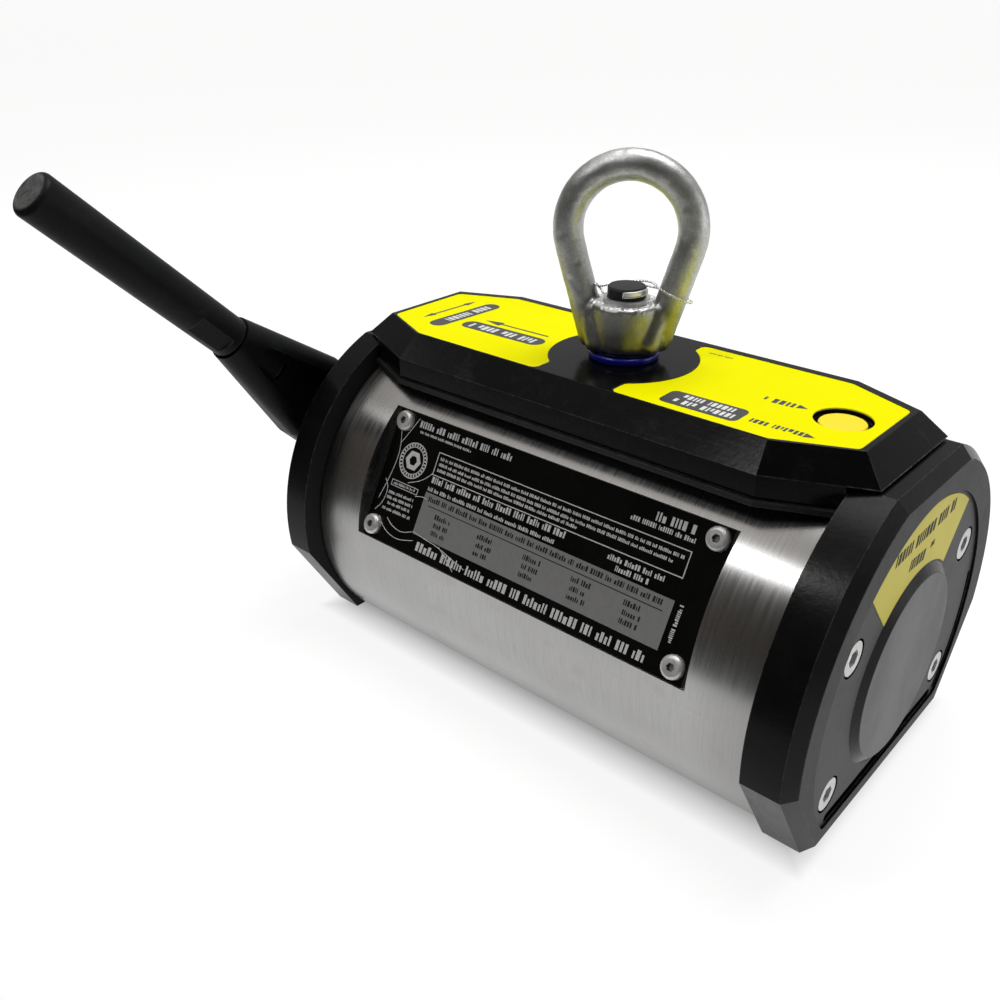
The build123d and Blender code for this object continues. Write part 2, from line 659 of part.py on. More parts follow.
with BuildPart() as rotor_left_plate:
    with BuildSketch(axis_plane(-ROTOR_HALF_L - SEAM)):
        Circle(ROTOR_R - 1)
        with Locations(*ROTOR_POINTS):
            Circle(ROD_R + 0.3, mode=Mode.SUBTRACT)
    extrude(amount=-END_PLATE_T)
    with BuildSketch(axis_plane(-ROTOR_HALF_L - END_PLATE_T)):
        Circle(SHAFT_R)
    extrude(amount=-(135 - ROTOR_HALF_L - END_PLATE_T))
    # hexagonal drive for the handle, drilled for its retaining screw
    with BuildSketch(axis_plane(-134.9)):
        RegularPolygon(HEX_R, 6)
    extrude(amount=-(-WASHER_X[0] - 134.9))
    with BuildSketch(axis_plane(WASHER_X[0])):
        Circle(4.3)
    extrude(amount=22, mode=Mode.SUBTRACT)

with BuildPart() as rotor_right_plate:
    with BuildSketch(axis_plane(ROTOR_HALF_L + SEAM)):
        Circle(ROTOR_R - 1)
        with Locations(*ROTOR_POINTS):
            Circle(ROD_R + 0.3, mode=Mode.SUBTRACT)
    extrude(amount=END_PLATE_T)
    with BuildSketch(axis_plane(ROTOR_HALF_L + END_PLATE_T)):
        Circle(STUB_R)
    extrude(amount=123.8 - ROTOR_HALF_L - END_PLATE_T)

ROD_HALF_L = ROTOR_HALF_L + END_PLATE_T + 0.1

with BuildPart() as rotor_rods:
    with BuildSketch(axis_plane(-ROD_HALF_L)):
        with Locations(*ROTOR_POINTS):
            Circle(ROD_R)
    extrude(amount=2 * ROD_HALF_L)
    # a flat head at each end
    with BuildSketch(axis_plane(-ROD_HALF_L - 3.5), axis_plane(ROD_HALF_L)):
        with Locations(*ROTOR_POINTS):
            Circle(5.0)
    extrude(amount=3.5)

with BuildPart() as retaining_washer:
    with BuildSketch(axis_plane(WASHER_X[0])):
        Circle(17.8)
        Circle(5.3, mode=Mode.SUBTRACT)
    extrude(amount=WASHER_X[1] - WASHER_X[0])

with BuildPart() as retaining_screw:
    out = Plane(origin=(WASHER_X[1], 0, AXIS_Z), x_dir=(0, 1, 0), z_dir=(-1, 0, 0))
    add(socket_screws([out], [(0, 0)], **RETAINING_SCREW))
    fillet(retaining_screw.faces().sort_by(Axis.X)[0].edges().sort_by(SortBy.LENGTH)[-1], 2.0)


# ---- handle -------------------------------------------------------------------------
ARM_FACE = Plane(origin=(ARM_X + ARM_T / 2, 0, AXIS_Z),
                 x_dir=(0, -cos(radians(ARM_ANGLE)), sin(radians(ARM_ANGLE))), z_dir=(1, 0, 0))

with BuildPart() as handle_arm:
    with BuildSketch(axis_plane(HUB_X[0])):
        Circle(HUB_R)
    extrude(amount=HUB_X[1] - HUB_X[0])
    fillet(handle_arm.faces().sort_by(Axis.X)[0].edges(), 4.0)
    # parallel part of the arm, then the flare down to the round neck
    with BuildSketch(lever_plane(6)):
        RectangleRounded(ARM_T, ARM_W, ARM_FILLET)
    extrude(amount=ARM_FLARE[0] - 6)
    with BuildSketch(lever_plane(ARM_FLARE[0])):
        RectangleRounded(ARM_T, ARM_W, ARM_FILLET)
    with BuildSketch(lever_plane(ARM_FLARE[1])):
        RectangleRounded(ARM_T, NECK_W, 10.45)
    loft()
    with BuildSketch(lever_plane(ARM_FLARE[1])):
        Circle(SPIGOT_R)
    extrude(amount=-THROUGH, mode=Mode.SUBTRACT)
    # tapering pocket in the face that looks at the body
    with BuildSketch(ARM_FACE) as pocket:
        (foot, foot_w), (knee, knee_w), (nose, nose_w) = ARM_POCKET
        Polygon((foot, foot_w), (knee, knee_w), (nose, nose_w), (nose, -nose_w),
                (knee, -knee_w), (foot, -foot_w), align=None)
        fillet(pocket.vertices().group_by(Axis.Z)[-1], nose_w * 0.9)
    extrude(amount=-ARM_POCKET_DEPTH, taper=12, mode=Mode.SUBTRACT)
    # spring chamber, hexagonal hole and the stop pin's hole
    with BuildSketch(axis_plane(HUB_SHOULDER)):
        Circle(18.8)
    extrude(amount=HUB_X[1] - HUB_SHOULDER - 5, mode=Mode.SUBTRACT)
    with BuildSketch(axis_plane(HUB_X[0])):
        RegularPolygon(HEX_R + 0.06, 6)
    extrude(amount=-20, mode=Mode.SUBTRACT)
    pin_at = (PIN_RADIUS * cos(radians(-ARM_ANGLE)), PIN_RADIUS * sin(radians(-ARM_ANGLE)))
    with BuildSketch(axis_plane(HUB_X[0])):
        with Locations(pin_at):
            Circle(PIN_R)
    extrude(amount=-7.5, mode=Mode.SUBTRACT)

with BuildPart() as stop_pin:
    with BuildSketch(axis_plane(left_x + 5.0)):
        with Locations(pin_at):
            Circle(PIN_R - SEAM)
    extrude(amount=HUB_X[0] - 7.3 - left_x - 5.0)
    chamfer(stop_pin.faces().sort_by(Axis.X)[-1].edges(), 0.8)

with BuildPart() as handle_bar:
    with BuildSketch(lever_plane(ARM_FLARE[1] + 1.0)):
        Circle(BAR_R)
    extrude(amount=BAR_END - ARM_FLARE[1] - 1.0)
    fillet(handle_bar.faces().sort_by(Axis.Z)[-1].edges(), BAR_END_R)
    with BuildSketch(lever_plane(ARM_FLARE[1] + 1.0)):
        Circle(SPIGOT_R - SEAM)
    extrude(amount=-28)
    # wrench flats beside the neck
    with BuildSketch(lever_plane(ARM_FLARE[1] + 4.5)):
        Circle(BAR_R + 1)
        Rectangle(BAR_FLATS, 4 * BAR_R, rotation=-38, mode=Mode.SUBTRACT)
    extrude(amount=19, mode=Mode.SUBTRACT)

with BuildPart() as return_spring:
    coil_from = HUB_SHOULDER - SPRING_WIRE - 0.1
    coil_len = HUB_SHOULDER - WASHER_X[0] - 2 * SPRING_WIRE - 0.2
    with BuildLine() as coil:
        Helix(pitch=coil_len / 4.5, height=coil_len, radius=SPRING_R,
              center=(coil_from, 0, AXIS_Z), direction=(-1, 0, 0))
    with BuildSketch(Plane(origin=coil.wire() @ 0, z_dir=coil.wire() % 0)):
        Circle(SPRING_WIRE)
    sweep(path=coil.wire(), is_frenet=True)


# ---- data plate ---------------------------------------------------------------------
with BuildPart() as data_plate:
    with BuildSketch(plate_plane(PLATE_DIST - PLATE_T)):
        with Locations((PLATE_SHIFT, -0.4)):
            Rectangle(PLATE_L, PLATE_W)
        with Locations(*PLATE_POINTS):
            Circle(M5_CLEARANCE_R, mode=Mode.SUBTRACT)
    extrude(amount=PLATE_T)

with BuildPart() as data_plate_screws:
    add(socket_screws([plate_plane(PLATE_DIST)], PLATE_POINTS, **BUTTON_SCREW))
    fillet(data_plate_screws.edges().filter_by(
        lambda e: e.geom_type == GeomType.CIRCLE and abs(e.radius - BUTTON_SCREW["head_r"]) < 0.01
    ).filter_by(lambda e: (plate_plane(PLATE_DIST).to_local_coords(e).center().Z) > 2.0), 1.7)


# ---- export -------------------------------------------------------------------------
PIECES = dict(
    front_pole=front_pole, rear_pole=rear_pole, top_spacer=top_spacer,
    bottom_spacer=bottom_spacer, right_end_cap=right_end_cap, left_end_cap=left_end_cap,
    right_cap_gasket=right_cap_gasket, left_cap_gasket=left_cap_gasket,
    right_cap_screws=right_cap_screws, left_cap_screws=left_cap_screws,
    right_bush=right_bush, left_bush=left_bush, shaft_seal=shaft_seal, arc_label=arc_label,
    top_cover=top_cover, cover_gasket=cover_gasket, cover_screws=cover_screws,
    cover_label_left=cover_label_left, cover_label_right=cover_label_right, tag_plug=tag_plug,
    anchor_block=anchor_block, anchor_screws=anchor_screws, swivel_ring=swivel_ring,
    lifting_eye=lifting_eye, eye_bolt=eye_bolt, eye_bolt_washer=eye_bolt_washer,
    swivel_collar=swivel_collar, thrust_washer=thrust_washer, eye_nut=eye_nut,
    seal_wire=seal_wire, seal_ferrule=seal_ferrule,
    rotor_upper_pole=rotor_upper_pole, rotor_lower_pole=rotor_lower_pole,
    rotor_magnets=rotor_magnets, rotor_left_plate=rotor_left_plate,
    rotor_right_plate=rotor_right_plate, rotor_rods=rotor_rods,
    retaining_washer=retaining_washer, retaining_screw=retaining_screw,
    handle_arm=handle_arm, handle_bar=handle_bar, stop_pin=stop_pin,
    return_spring=return_spring, data_plate=data_plate, data_plate_screws=data_plate_screws,
)

os.makedirs("parts", exist_ok=True)
for node, piece in PIECES.items():
    piece.part.label = node
    export_step(piece.part, f"parts/{node}.step")
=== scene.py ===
import math
import random

import bmesh
import bpy
from mathutils import Matrix, Vector, noise


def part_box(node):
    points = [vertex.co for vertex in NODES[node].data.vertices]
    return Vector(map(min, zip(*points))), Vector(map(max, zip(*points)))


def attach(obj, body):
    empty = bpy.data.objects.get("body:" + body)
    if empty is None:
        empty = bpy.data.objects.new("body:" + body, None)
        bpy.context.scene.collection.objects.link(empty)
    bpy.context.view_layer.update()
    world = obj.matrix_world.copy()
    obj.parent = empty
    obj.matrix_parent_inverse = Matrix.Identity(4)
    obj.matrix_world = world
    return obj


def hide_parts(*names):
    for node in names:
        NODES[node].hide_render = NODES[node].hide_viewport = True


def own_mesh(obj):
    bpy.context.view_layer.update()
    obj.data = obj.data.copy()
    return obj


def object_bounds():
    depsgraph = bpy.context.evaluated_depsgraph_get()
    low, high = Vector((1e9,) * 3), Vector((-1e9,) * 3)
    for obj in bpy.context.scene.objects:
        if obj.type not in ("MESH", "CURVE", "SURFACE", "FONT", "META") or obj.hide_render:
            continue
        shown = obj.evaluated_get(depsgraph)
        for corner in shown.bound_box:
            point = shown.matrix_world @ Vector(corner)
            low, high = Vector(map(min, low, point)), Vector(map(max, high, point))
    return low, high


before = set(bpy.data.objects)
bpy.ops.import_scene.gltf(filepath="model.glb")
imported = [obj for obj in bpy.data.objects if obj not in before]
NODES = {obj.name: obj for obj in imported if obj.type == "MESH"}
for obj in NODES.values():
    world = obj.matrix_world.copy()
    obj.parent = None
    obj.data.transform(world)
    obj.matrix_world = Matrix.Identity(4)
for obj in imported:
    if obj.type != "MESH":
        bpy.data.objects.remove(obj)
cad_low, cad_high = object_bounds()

# Lifting magnet in the frame of the CAD model: X along the rotor, -Y the data-plate side,
# Z up, ground at z = 0. Objects and shaders are in metres. The prints, the eye, the seal
# and the spring are drawn in millimetres, and new_piece scales them by MM.

MM = 0.001
EDGE = 0.0006                      # reach of the rubbed edges
AXIS_Z = 0.058                     # rotor axis above the ground
scene = bpy.context.scene

PLATE_ANGLE = math.radians(28.8)   # the data plate's normal above horizontal
PLATE_DIST = 69.2                  # its outer face from the rotor axis
EYE_YAW = math.radians(26.6)       # the ring's plane from X
EYE_Z, EYE_R, EYE_BAR_R = 142.2, 24.6, 6.0      # ring centre over the axis, ring, bar
EYE_LEAN = math.radians(16.2)      # legs from vertical
EYE_BOSS_Z = (95.0, 114.1)         # boss's foot and top over the axis
LEVER_Y, LEVER_Z = -0.7096, 0.7046              # direction of the lever

# right end cap, metres
CAP_FLOOR_X, CAP_RIM_X = 0.1304, 0.1336         # below the recess's floor, below the rim
CAP_BOSS_R = 0.0379                             # just outside the boss's flat

CAMERA_PLACE = Vector((0.227478, -0.329886, 0.292723))
CAMERA_TURN = (41.9551, 27.9804, -0.4011)       # azimuth, elevation and roll, degrees
CAMERA_LENS = 36.499


# ---- camera -------------------------------------------------------------------------
def make_camera():
    az, el, roll = (math.radians(angle) for angle in CAMERA_TURN)
    back = Vector((math.sin(az) * math.cos(el), -math.cos(az) * math.cos(el), math.sin(el)))
    right = (-back).cross(Vector((0, 0, 1))).normalized()
    up = right.cross(-back)
    r = math.cos(roll) * right + math.sin(roll) * up
    u = -math.sin(roll) * right + math.cos(roll) * up
    data = bpy.data.cameras.new("camera")
    data.lens = CAMERA_LENS
    data.sensor_width = 36.0
    data.clip_end = 100.0
    cam = bpy.data.objects.new("camera", data)
    scene.collection.objects.link(cam)
    turn = Matrix((r, u, back)).transposed().to_4x4()
    cam.matrix_world = Matrix.Translation(CAMERA_PLACE) @ turn
    scene.camera = cam


# ---- studio -------------------------------------------------------------------------
def area_light(name, place, aim, size, power):
    data = bpy.data.lights.new(name, "AREA")
    data.shape = "RECTANGLE"
    data.size, data.size_y = size
    data.energy = power
    lamp = bpy.data.objects.new(name, data)
    scene.collection.objects.link(lamp)
    lamp.location = place
    lamp.rotation_mode = "QUATERNION"
    lamp.rotation_quaternion = (Vector(aim) - Vector(place)).to_track_quat("-Z", "Y")


def make_floor():
    """White paper that glows; painted shadow darkens it under the body, and painted shade far out
    in front.
    """
    bm = bmesh.new()
    bmesh.ops.create_grid(bm, x_segments=8, y_segments=8, size=30.0)
    mesh = bpy.data.meshes.new("floor")
    bm.to_mesh(mesh)
    bm.free()
    floor = bpy.data.objects.new("floor", mesh)
    scene.collection.objects.link(floor)
    floor.location.z = -0.0002
    s = Shader("floor_paper")
    x, y = s.xyz()[:2]
    half_x, half_y = 0.128, 0.060                # footprint of the body and its caps
    out = s.math("MAXIMUM", s.math("SUBTRACT", s.math("ABSOLUTE", x), half_x),
                 s.math("SUBTRACT", s.math("ABSOLUTE", y), half_y))
    # lit is 1 near the body and 0 far out in front, where painted shade darkens the paper and its
    # glow
    lit = s.span(y, -0.33, -0.275)
    # painted shadow: the glow falls to a fifth under the body and its caps
    glow = s.math("MULTIPLY", s.span(out, -0.016, 0.008, 0.2, 1.0), s.span(lit, 0, 1, 0.08, 1))
    s.bsdf.inputs["Emission Color"].default_value = (1, 1, 1, 1)
    s.link(s.math("MULTIPLY", glow, 0.86), s.bsdf.inputs["Emission Strength"])
    grain = s.noise(900.0, 3.0, 0.6)
    # painted shade: the paper turns near black far out in front
    paper = s.mix(lit, grey(0.02), s.mix(grain, grey(0.17), grey(0.19)))
    s.finish(paper, 0.9, s.bump(grain, 0.05, 0.0002))
    mesh.materials.append(s.mat)


def make_world():
    """Dim room: pale wall behind, faint ceiling, faint left corner, glow high on the left."""
    world = bpy.data.worlds.new("studio")
    world.use_nodes = True
    scene.world = world
    tree = world.node_tree
    coord = tree.nodes.new("ShaderNodeTexCoord")

    def ramp(direction, stops):
        # brightness by how squarely a ray points in this direction
        dot = tree.nodes.new("ShaderNodeVectorMath")
        dot.operation = "DOT_PRODUCT"
        dot.inputs[1].default_value = Vector(direction).normalized()
        tree.links.new(coord.outputs["Generated"], dot.inputs[0])
        node = tree.nodes.new("ShaderNodeValToRGB")
        for stop, (place, value, warm) in zip(node.color_ramp.elements, stops):
            stop.position = place
            stop.color = grey(value, warm)
        tree.links.new(dot.outputs["Value"], node.inputs["Fac"])
        return node.outputs["Color"]

    total = ramp((-0.25, 0.85, 0.30), ((0.10, 0.034, 0.12), (0.85, 0.55, 0.0)))
    for extra in (ramp((0.0, 0.0, 1.0), ((0.35, 0.0, 0.0), (0.95, 0.08, 0.0))),
                  ramp((-0.72, -0.66, 0.2), ((0.70, 0.0, 0.0), (0.98, 0.06, 0.12))),
                  ramp((-0.44, -0.16, 0.88), ((0.895, 0.0, 0.0), (0.955, 0.62, 0.05)))):
        add = tree.nodes.new("ShaderNodeMix")
        add.data_type, add.blend_type = "RGBA", "ADD"
        add.inputs[0].default_value = 1.0
        tree.links.new(total, add.inputs[6])
        tree.links.new(extra, add.inputs[7])
        total = add.outputs[2]
    tree.links.new(total, tree.nodes["Background"].inputs["Color"])


def make_studio():
    scene.view_settings.view_transform = "Standard"
    make_floor()
    make_world()
    area_light("top_box", (0.05, 0.35, 1.45), (0, 0, 0.05), (0.9, 0.8), 15)
    area_light("key_box", (-0.31, -0.67, 1.06), (0.105, -0.054, 0.112), (0.16, 0.16), 2.5)
    area_light("left_box", (-1.03, -0.53, 0.90), (-0.10, -0.05, 0.11), (0.2, 0.2), 0.22)
    area_light("right_box", (1.5, 0.9, 0.5), (0.1, 0, 0.08), (0.8, 0.8), 4)


# ---- materials ----------------------------------------------------------------------
class Shader:
    """Builds one procedural material, node by node."""

    def __init__(self, name):
        self.mat = bpy.data.materials.new(name)
        self.mat.use_nodes = True
        self.tree = self.mat.node_tree
        self.bsdf = self.tree.nodes["Principled BSDF"]
        self.coord = self.tree.nodes.new("ShaderNodeTexCoord").outputs["Object"]

    def set(self, base=None, rough=None, metal=None, ior=None, coat=None, coat_rough=None,
            spec=None, aniso=None, turn=None):
        names = (("Base Color", base), ("Roughness", rough), ("Metallic", metal), ("IOR", ior),
                 ("Coat Weight", coat), ("Coat Roughness", coat_rough),
                 ("Specular IOR Level", spec), ("Anisotropic", aniso),
                 ("Anisotropic Rotation", turn))
        for name, value in names:
            if value is not None:
                self.bsdf.inputs[name].default_value = value
        return self

    def link(self, value, socket):
        if isinstance(value, bpy.types.NodeSocket):
            self.tree.links.new(value, socket)
        else:
            socket.default_value = value

    def math(self, op, a, b=0.0, clamp=False):
        n = self.tree.nodes.new("ShaderNodeMath")
        n.operation, n.use_clamp = op, clamp
        self.link(a, n.inputs[0])
        self.link(b, n.inputs[1])
        return n.outputs[0]

    def length(self, a, b):
        """Length of the vector (a, b)."""
        squares = self.math("ADD", self.math("MULTIPLY", a, a), self.math("MULTIPLY", b, b))
        return self.math("SQRT", squares)

    def xyz(self):
        n = self.tree.nodes.new("ShaderNodeSeparateXYZ")
        self.link(self.coord, n.inputs[0])
        return n.outputs[0], n.outputs[1], n.outputs[2]

    def vector(self, x, y, z):
        n = self.tree.nodes.new("ShaderNodeCombineXYZ")
        for value, socket in zip((x, y, z), n.inputs):
            self.link(value, socket)
        return n.outputs[0]

    def stretched(self, sx, sy, sz):
        """Object coordinates, scaled per axis."""
        n = self.tree.nodes.new("ShaderNodeVectorMath")
        n.operation = "MULTIPLY"
        self.link(self.coord, n.inputs[0])
        n.inputs[1].default_value = (sx, sy, sz)
        return n.outputs[0]

    def round_axis(self, sx, sa, sr=0.0):
        """Coordinates along, round and away from the rotor axis."""
        x, y, z = self.xyz()
        up = self.math("SUBTRACT", z, AXIS_Z)
        angle = self.math("ARCTAN2", up, y)
        return self.vector(self.math("MULTIPLY", x, sx), self.math("MULTIPLY", angle, sa),
                           self.math("MULTIPLY", self.length(up, y), sr))

    def noise(self, scale, detail=3.0, rough=0.5, vector=None, distort=0.0):
        n = self.tree.nodes.new("ShaderNodeTexNoise")
        self.link(vector if vector is not None else self.coord, n.inputs["Vector"])
        n.inputs["Scale"].default_value = scale
        n.inputs["Detail"].default_value = detail
        n.inputs["Roughness"].default_value = rough
        n.inputs["Distortion"].default_value = distort
        return n.outputs["Fac"]

    def voronoi(self, scale, vector=None, feature="F1", random=1.0):
        n = self.tree.nodes.new("ShaderNodeTexVoronoi")
        n.feature = feature
        self.link(vector if vector is not None else self.coord, n.inputs["Vector"])
        n.inputs["Scale"].default_value = scale
        n.inputs["Randomness"].default_value = random
        return n.outputs["Distance"]

    def span(self, value, low, high, out_low=0.0, out_high=1.0):
        n = self.tree.nodes.new("ShaderNodeMapRange")
        self.link(value, n.inputs["Value"])
        for name, number in (("From Min", low), ("From Max", high),
                             ("To Min", out_low), ("To Max", out_high)):
            n.inputs[name].default_value = number
        return n.outputs["Result"]

    def mix(self, fac, a, b, blend="MIX"):
        n = self.tree.nodes.new("ShaderNodeMix")
        n.data_type, n.blend_type = "RGBA", blend
        self.link(fac, n.inputs[0])
        self.link(a, n.inputs[6])
        self.link(b, n.inputs[7])
        return n.outputs[2]

    def bump(self, height, strength, distance, normal=None):
        n = self.tree.nodes.new("ShaderNodeBump")
        n.inputs["Strength"].default_value = strength
        n.inputs["Distance"].default_value = distance
        self.link(height, n.inputs["Height"])
        if normal is not None:
            self.link(normal, n.inputs["Normal"])
        return n.outputs["Normal"]

    def edges(self, radius, low, high):
        """1 along sharp edges and 0 on flats, from how far a rounded normal would turn."""
        bevel = self.tree.nodes.new("ShaderNodeBevel")
        bevel.samples = 6
        bevel.inputs["Radius"].default_value = radius
        geometry = self.tree.nodes.new("ShaderNodeNewGeometry")
        dot = self.tree.nodes.new("ShaderNodeVectorMath")
        dot.operation = "DOT_PRODUCT"
        self.link(bevel.outputs[0], dot.inputs[0])
        self.link(geometry.outputs["True Normal"], dot.inputs[1])
        return self.span(dot.outputs["Value"], high, low)

    def hollow(self, reach, low, high):
        """1 deep in recesses and 0 in the open."""
        open_air = self.tree.nodes.new("ShaderNodeAmbientOcclusion")
        open_air.samples = 6
        open_air.only_local = True
        open_air.inputs["Distance"].default_value = reach
        return self.span(open_air.outputs["AO"], high, low)

    def along(self, x, y, z):
        """How squarely the true surface faces a direction."""
        geometry = self.tree.nodes.new("ShaderNodeNewGeometry")
        dot = self.tree.nodes.new("ShaderNodeVectorMath")
        dot.operation = "DOT_PRODUCT"
        self.link(geometry.outputs["True Normal"], dot.inputs[0])
        dot.inputs[1].default_value = (x, y, z)
        return dot.outputs["Value"]

    def finish(self, base=None, rough=None, normal=None, metal=None):
        for value, name in ((base, "Base Color"), (rough, "Roughness"), (normal, "Normal"),
                            (metal, "Metallic")):
            if value is not None:
                self.link(value, self.bsdf.inputs[name])
        return self.mat


def grey(v, warm=0.0):
    return (v * (1 + warm), v, v * (1 - warm), 1)


def steel_body():
    """Ground steel, brushed round the rotor axis, with faint stains; its ends are darkened by
    painted shade beside the caps.
    """
    s = Shader("steel_body").set(metal=1.0, aniso=0.45, turn=0.25)
    fine = s.noise(1.0, 2.0, 0.6, s.round_axis(5200, 9))
    lines = s.noise(1.0, 3.0, 0.65, s.round_axis(900, 2.2))
    clouds = s.noise(14.0, 3.0, 0.55)
    blots = s.noise(1.0, 4.0, 0.6, s.round_axis(38, 4.0))
    tone = s.mix(s.span(lines, 0.3, 0.7), grey(0.32, 0.01), grey(0.385, 0.005))
    tone = s.mix(s.span(fine, 0.35, 0.75, 0.0, 0.5), tone, grey(0.43, 0.005))
    # painted shade: the steel darkens towards both ends, beside the black caps
    ends = s.span(s.math("ABSOLUTE", s.xyz()[0]), 0.088, 0.114, 0.0, 0.45)
    tone = s.mix(ends, tone, grey(0.15, 0.02))
    tone = s.mix(s.span(clouds, 0.5, 0.75, 0.0, 0.25), tone, grey(0.29, 0.03))
    tone = s.mix(s.span(blots, 0.56, 0.78, 0.0, 0.40), tone, (0.27, 0.245, 0.21, 1))
    rough = s.math("ADD", s.span(lines, 0.25, 0.75, 0.22, 0.33),
                   s.span(clouds, 0.35, 0.7, -0.02, 0.06))
    tangent = s.tree.nodes.new("ShaderNodeTangent")
    tangent.direction_type, tangent.axis = "RADIAL", "X"
    s.link(tangent.outputs[0], s.bsdf.inputs["Tangent"])
    normal = s.bump(fine, 0.10, 0.00006, s.bump(lines, 0.12, 0.0001))
    return s.finish(tone, rough, normal)


def black_coat(name, base=0.006, rough=0.26, grain=0.2, dust=0.25, scuffs=0.3, wear=0.5,
               spec=0.18, bare=0.10, end_worn_with_painted_glint=False):
    """Black coating: orange peel, hazy scuffs, dust specks and edges rubbed grey."""
    s = Shader(name).set(ior=1.45, spec=spec)
    peel = s.noise(520.0, 2.0, 0.5)
    fine = s.noise(2600.0, 2.0, 0.6)
    patches = s.noise(26.0, 4.0, 0.6)
    haze = s.noise(150.0, 5.0, 0.7, distort=1.2)
    specks = s.voronoi(900.0)
    scratched = s.noise(1.0, 4.0, 0.75, s.stretched(90, 700, 240), 0.6)
    hazy = s.math("MULTIPLY", s.span(patches, 0.48, 0.66), s.span(haze, 0.50, 0.68))
    tone = s.mix(s.span(patches, 0.35, 0.75), grey(base, -0.06), grey(base * 1.8, -0.06))
    tone = s.mix(s.math("MULTIPLY", hazy, scuffs), tone, (0.030, 0.033, 0.036, 1))
    tone = s.mix(s.span(specks, 0.10, 0.04, 0.0, dust), tone, grey(0.11))
    rubbed = s.math("MULTIPLY", s.edges(EDGE, 0.93, 0.985), s.span(haze, 0.36, 0.60))
    rubbed = s.math("MULTIPLY", rubbed, wear)
    tone = s.mix(rubbed, tone, grey(bare, 0.01))
    # the bar's end face turns grey: partly worn, partly a painted highlight
    if end_worn_with_painted_glint:
        out = s.along(0.0, LEVER_Y, LEVER_Z)
        end_wear_and_glint = s.math("MULTIPLY", s.span(out, 0.90, 0.99), s.span(haze, 0.30, 0.62, 0.25, 1.0))
        tone = s.mix(end_wear_and_glint, tone, grey(0.13))
    gloss = s.math("ADD", s.span(patches, 0.3, 0.75, rough - 0.05, rough + 0.07),
                   s.span(scratched, 0.5, 0.8, 0.0, 0.10))
    gloss = s.math("ADD", gloss, s.math("MULTIPLY", hazy, 0.15))
    normal = s.bump(fine, grain * 0.5, 0.00008, s.bump(peel, grain, 0.00022))
    return s.finish(tone, gloss, normal)


def cap_coat():
    """Black cap; its faces towards +X are greyed by painted reflection, rougher on the recess's
    floor, brighter on the round boss with a painted sheen down its middle.
    """
    s = Shader("cap_coat").set(ior=1.42, spec=0.11)
    x, y, z = s.xyz()
    peel = s.noise(520.0, 2.0, 0.5)
    fine = s.noise(2600.0, 2.0, 0.6)
    patches = s.noise(26.0, 4.0, 0.6)
    haze = s.noise(150.0, 5.0, 0.7, distort=1.2)
    specks = s.voronoi(900.0)
    out_x = s.along(1.0, 0.0, 0.0)
    flat = s.math("MULTIPLY", s.span(out_x, 0.97, 0.995),
                  s.span(x, CAP_FLOOR_X - 0.0001, CAP_FLOOR_X + 0.0001))
    up = s.math("SUBTRACT", z, AXIS_Z)
    radius = s.length(up, y)
    boss = s.math("MULTIPLY", flat, s.span(radius, CAP_BOSS_R + 0.0005, CAP_BOSS_R - 0.0005))
    clouds = s.noise(1.0, 3.0, 0.5, s.stretched(60, 60, 26), 0.3)
    # painted sheen: a soft bright band down the middle of the boss
    glow = s.span(s.math("ABSOLUTE", s.math("ADD", y, 0.002)), 0.0, 0.03, 1.0, 0.0)
    tone = s.mix(s.span(patches, 0.35, 0.75), grey(0.003), grey(0.007))
    # painted reflection: the grey that the +X faces show, brighter still on the boss
    painted_reflection_grey = s.mix(s.span(patches, 0.3, 0.7), grey(0.062, -0.01), grey(0.082, -0.01))
    boss_painted_reflection = s.mix(s.span(clouds, 0.35, 0.68), grey(0.125, -0.01), grey(0.170, 0.0))
    boss_painted_reflection = s.mix(s.math("MULTIPLY", glow, 0.5), boss_painted_reflection, grey(0.21, 0.01))
    # painted reflection greys the faces towards +X
    tone = s.mix(flat, tone, painted_reflection_grey)
    # the rim's own flat keeps most of its black against the painted reflection
    rim = s.math("MULTIPLY", flat, s.span(x, CAP_RIM_X - 0.0002, CAP_RIM_X + 0.0002))
    tone = s.mix(s.math("MULTIPLY", rim, 0.7), tone, grey(0.012))
    # painted reflection: facets half turned to +X take some of the grey
    tone = s.mix(s.span(out_x, 0.55, 0.80, 0.0, 0.18), tone, painted_reflection_grey)
    # painted reflection and painted sheen on the round boss
    tone = s.mix(boss, tone, boss_painted_reflection)
    tone = s.mix(s.span(specks, 0.10, 0.04, 0.0, 0.3), tone, grey(0.11))
    rubbed = s.math("MULTIPLY", s.edges(EDGE, 0.93, 0.985), s.span(haze, 0.36, 0.60, 0.0, 0.55))
    tone = s.mix(rubbed, tone, grey(0.12))
    gloss = s.math("ADD", s.span(patches, 0.3, 0.75, 0.20, 0.30),
                   s.span(haze, 0.5, 0.75, 0.0, 0.08))
    gloss = s.math("ADD", gloss, s.math("MULTIPLY", flat, 0.24))
    normal = s.bump(fine, 0.11, 0.00008, s.bump(peel, 0.22, 0.00022))
    return s.finish(tone, gloss, normal)


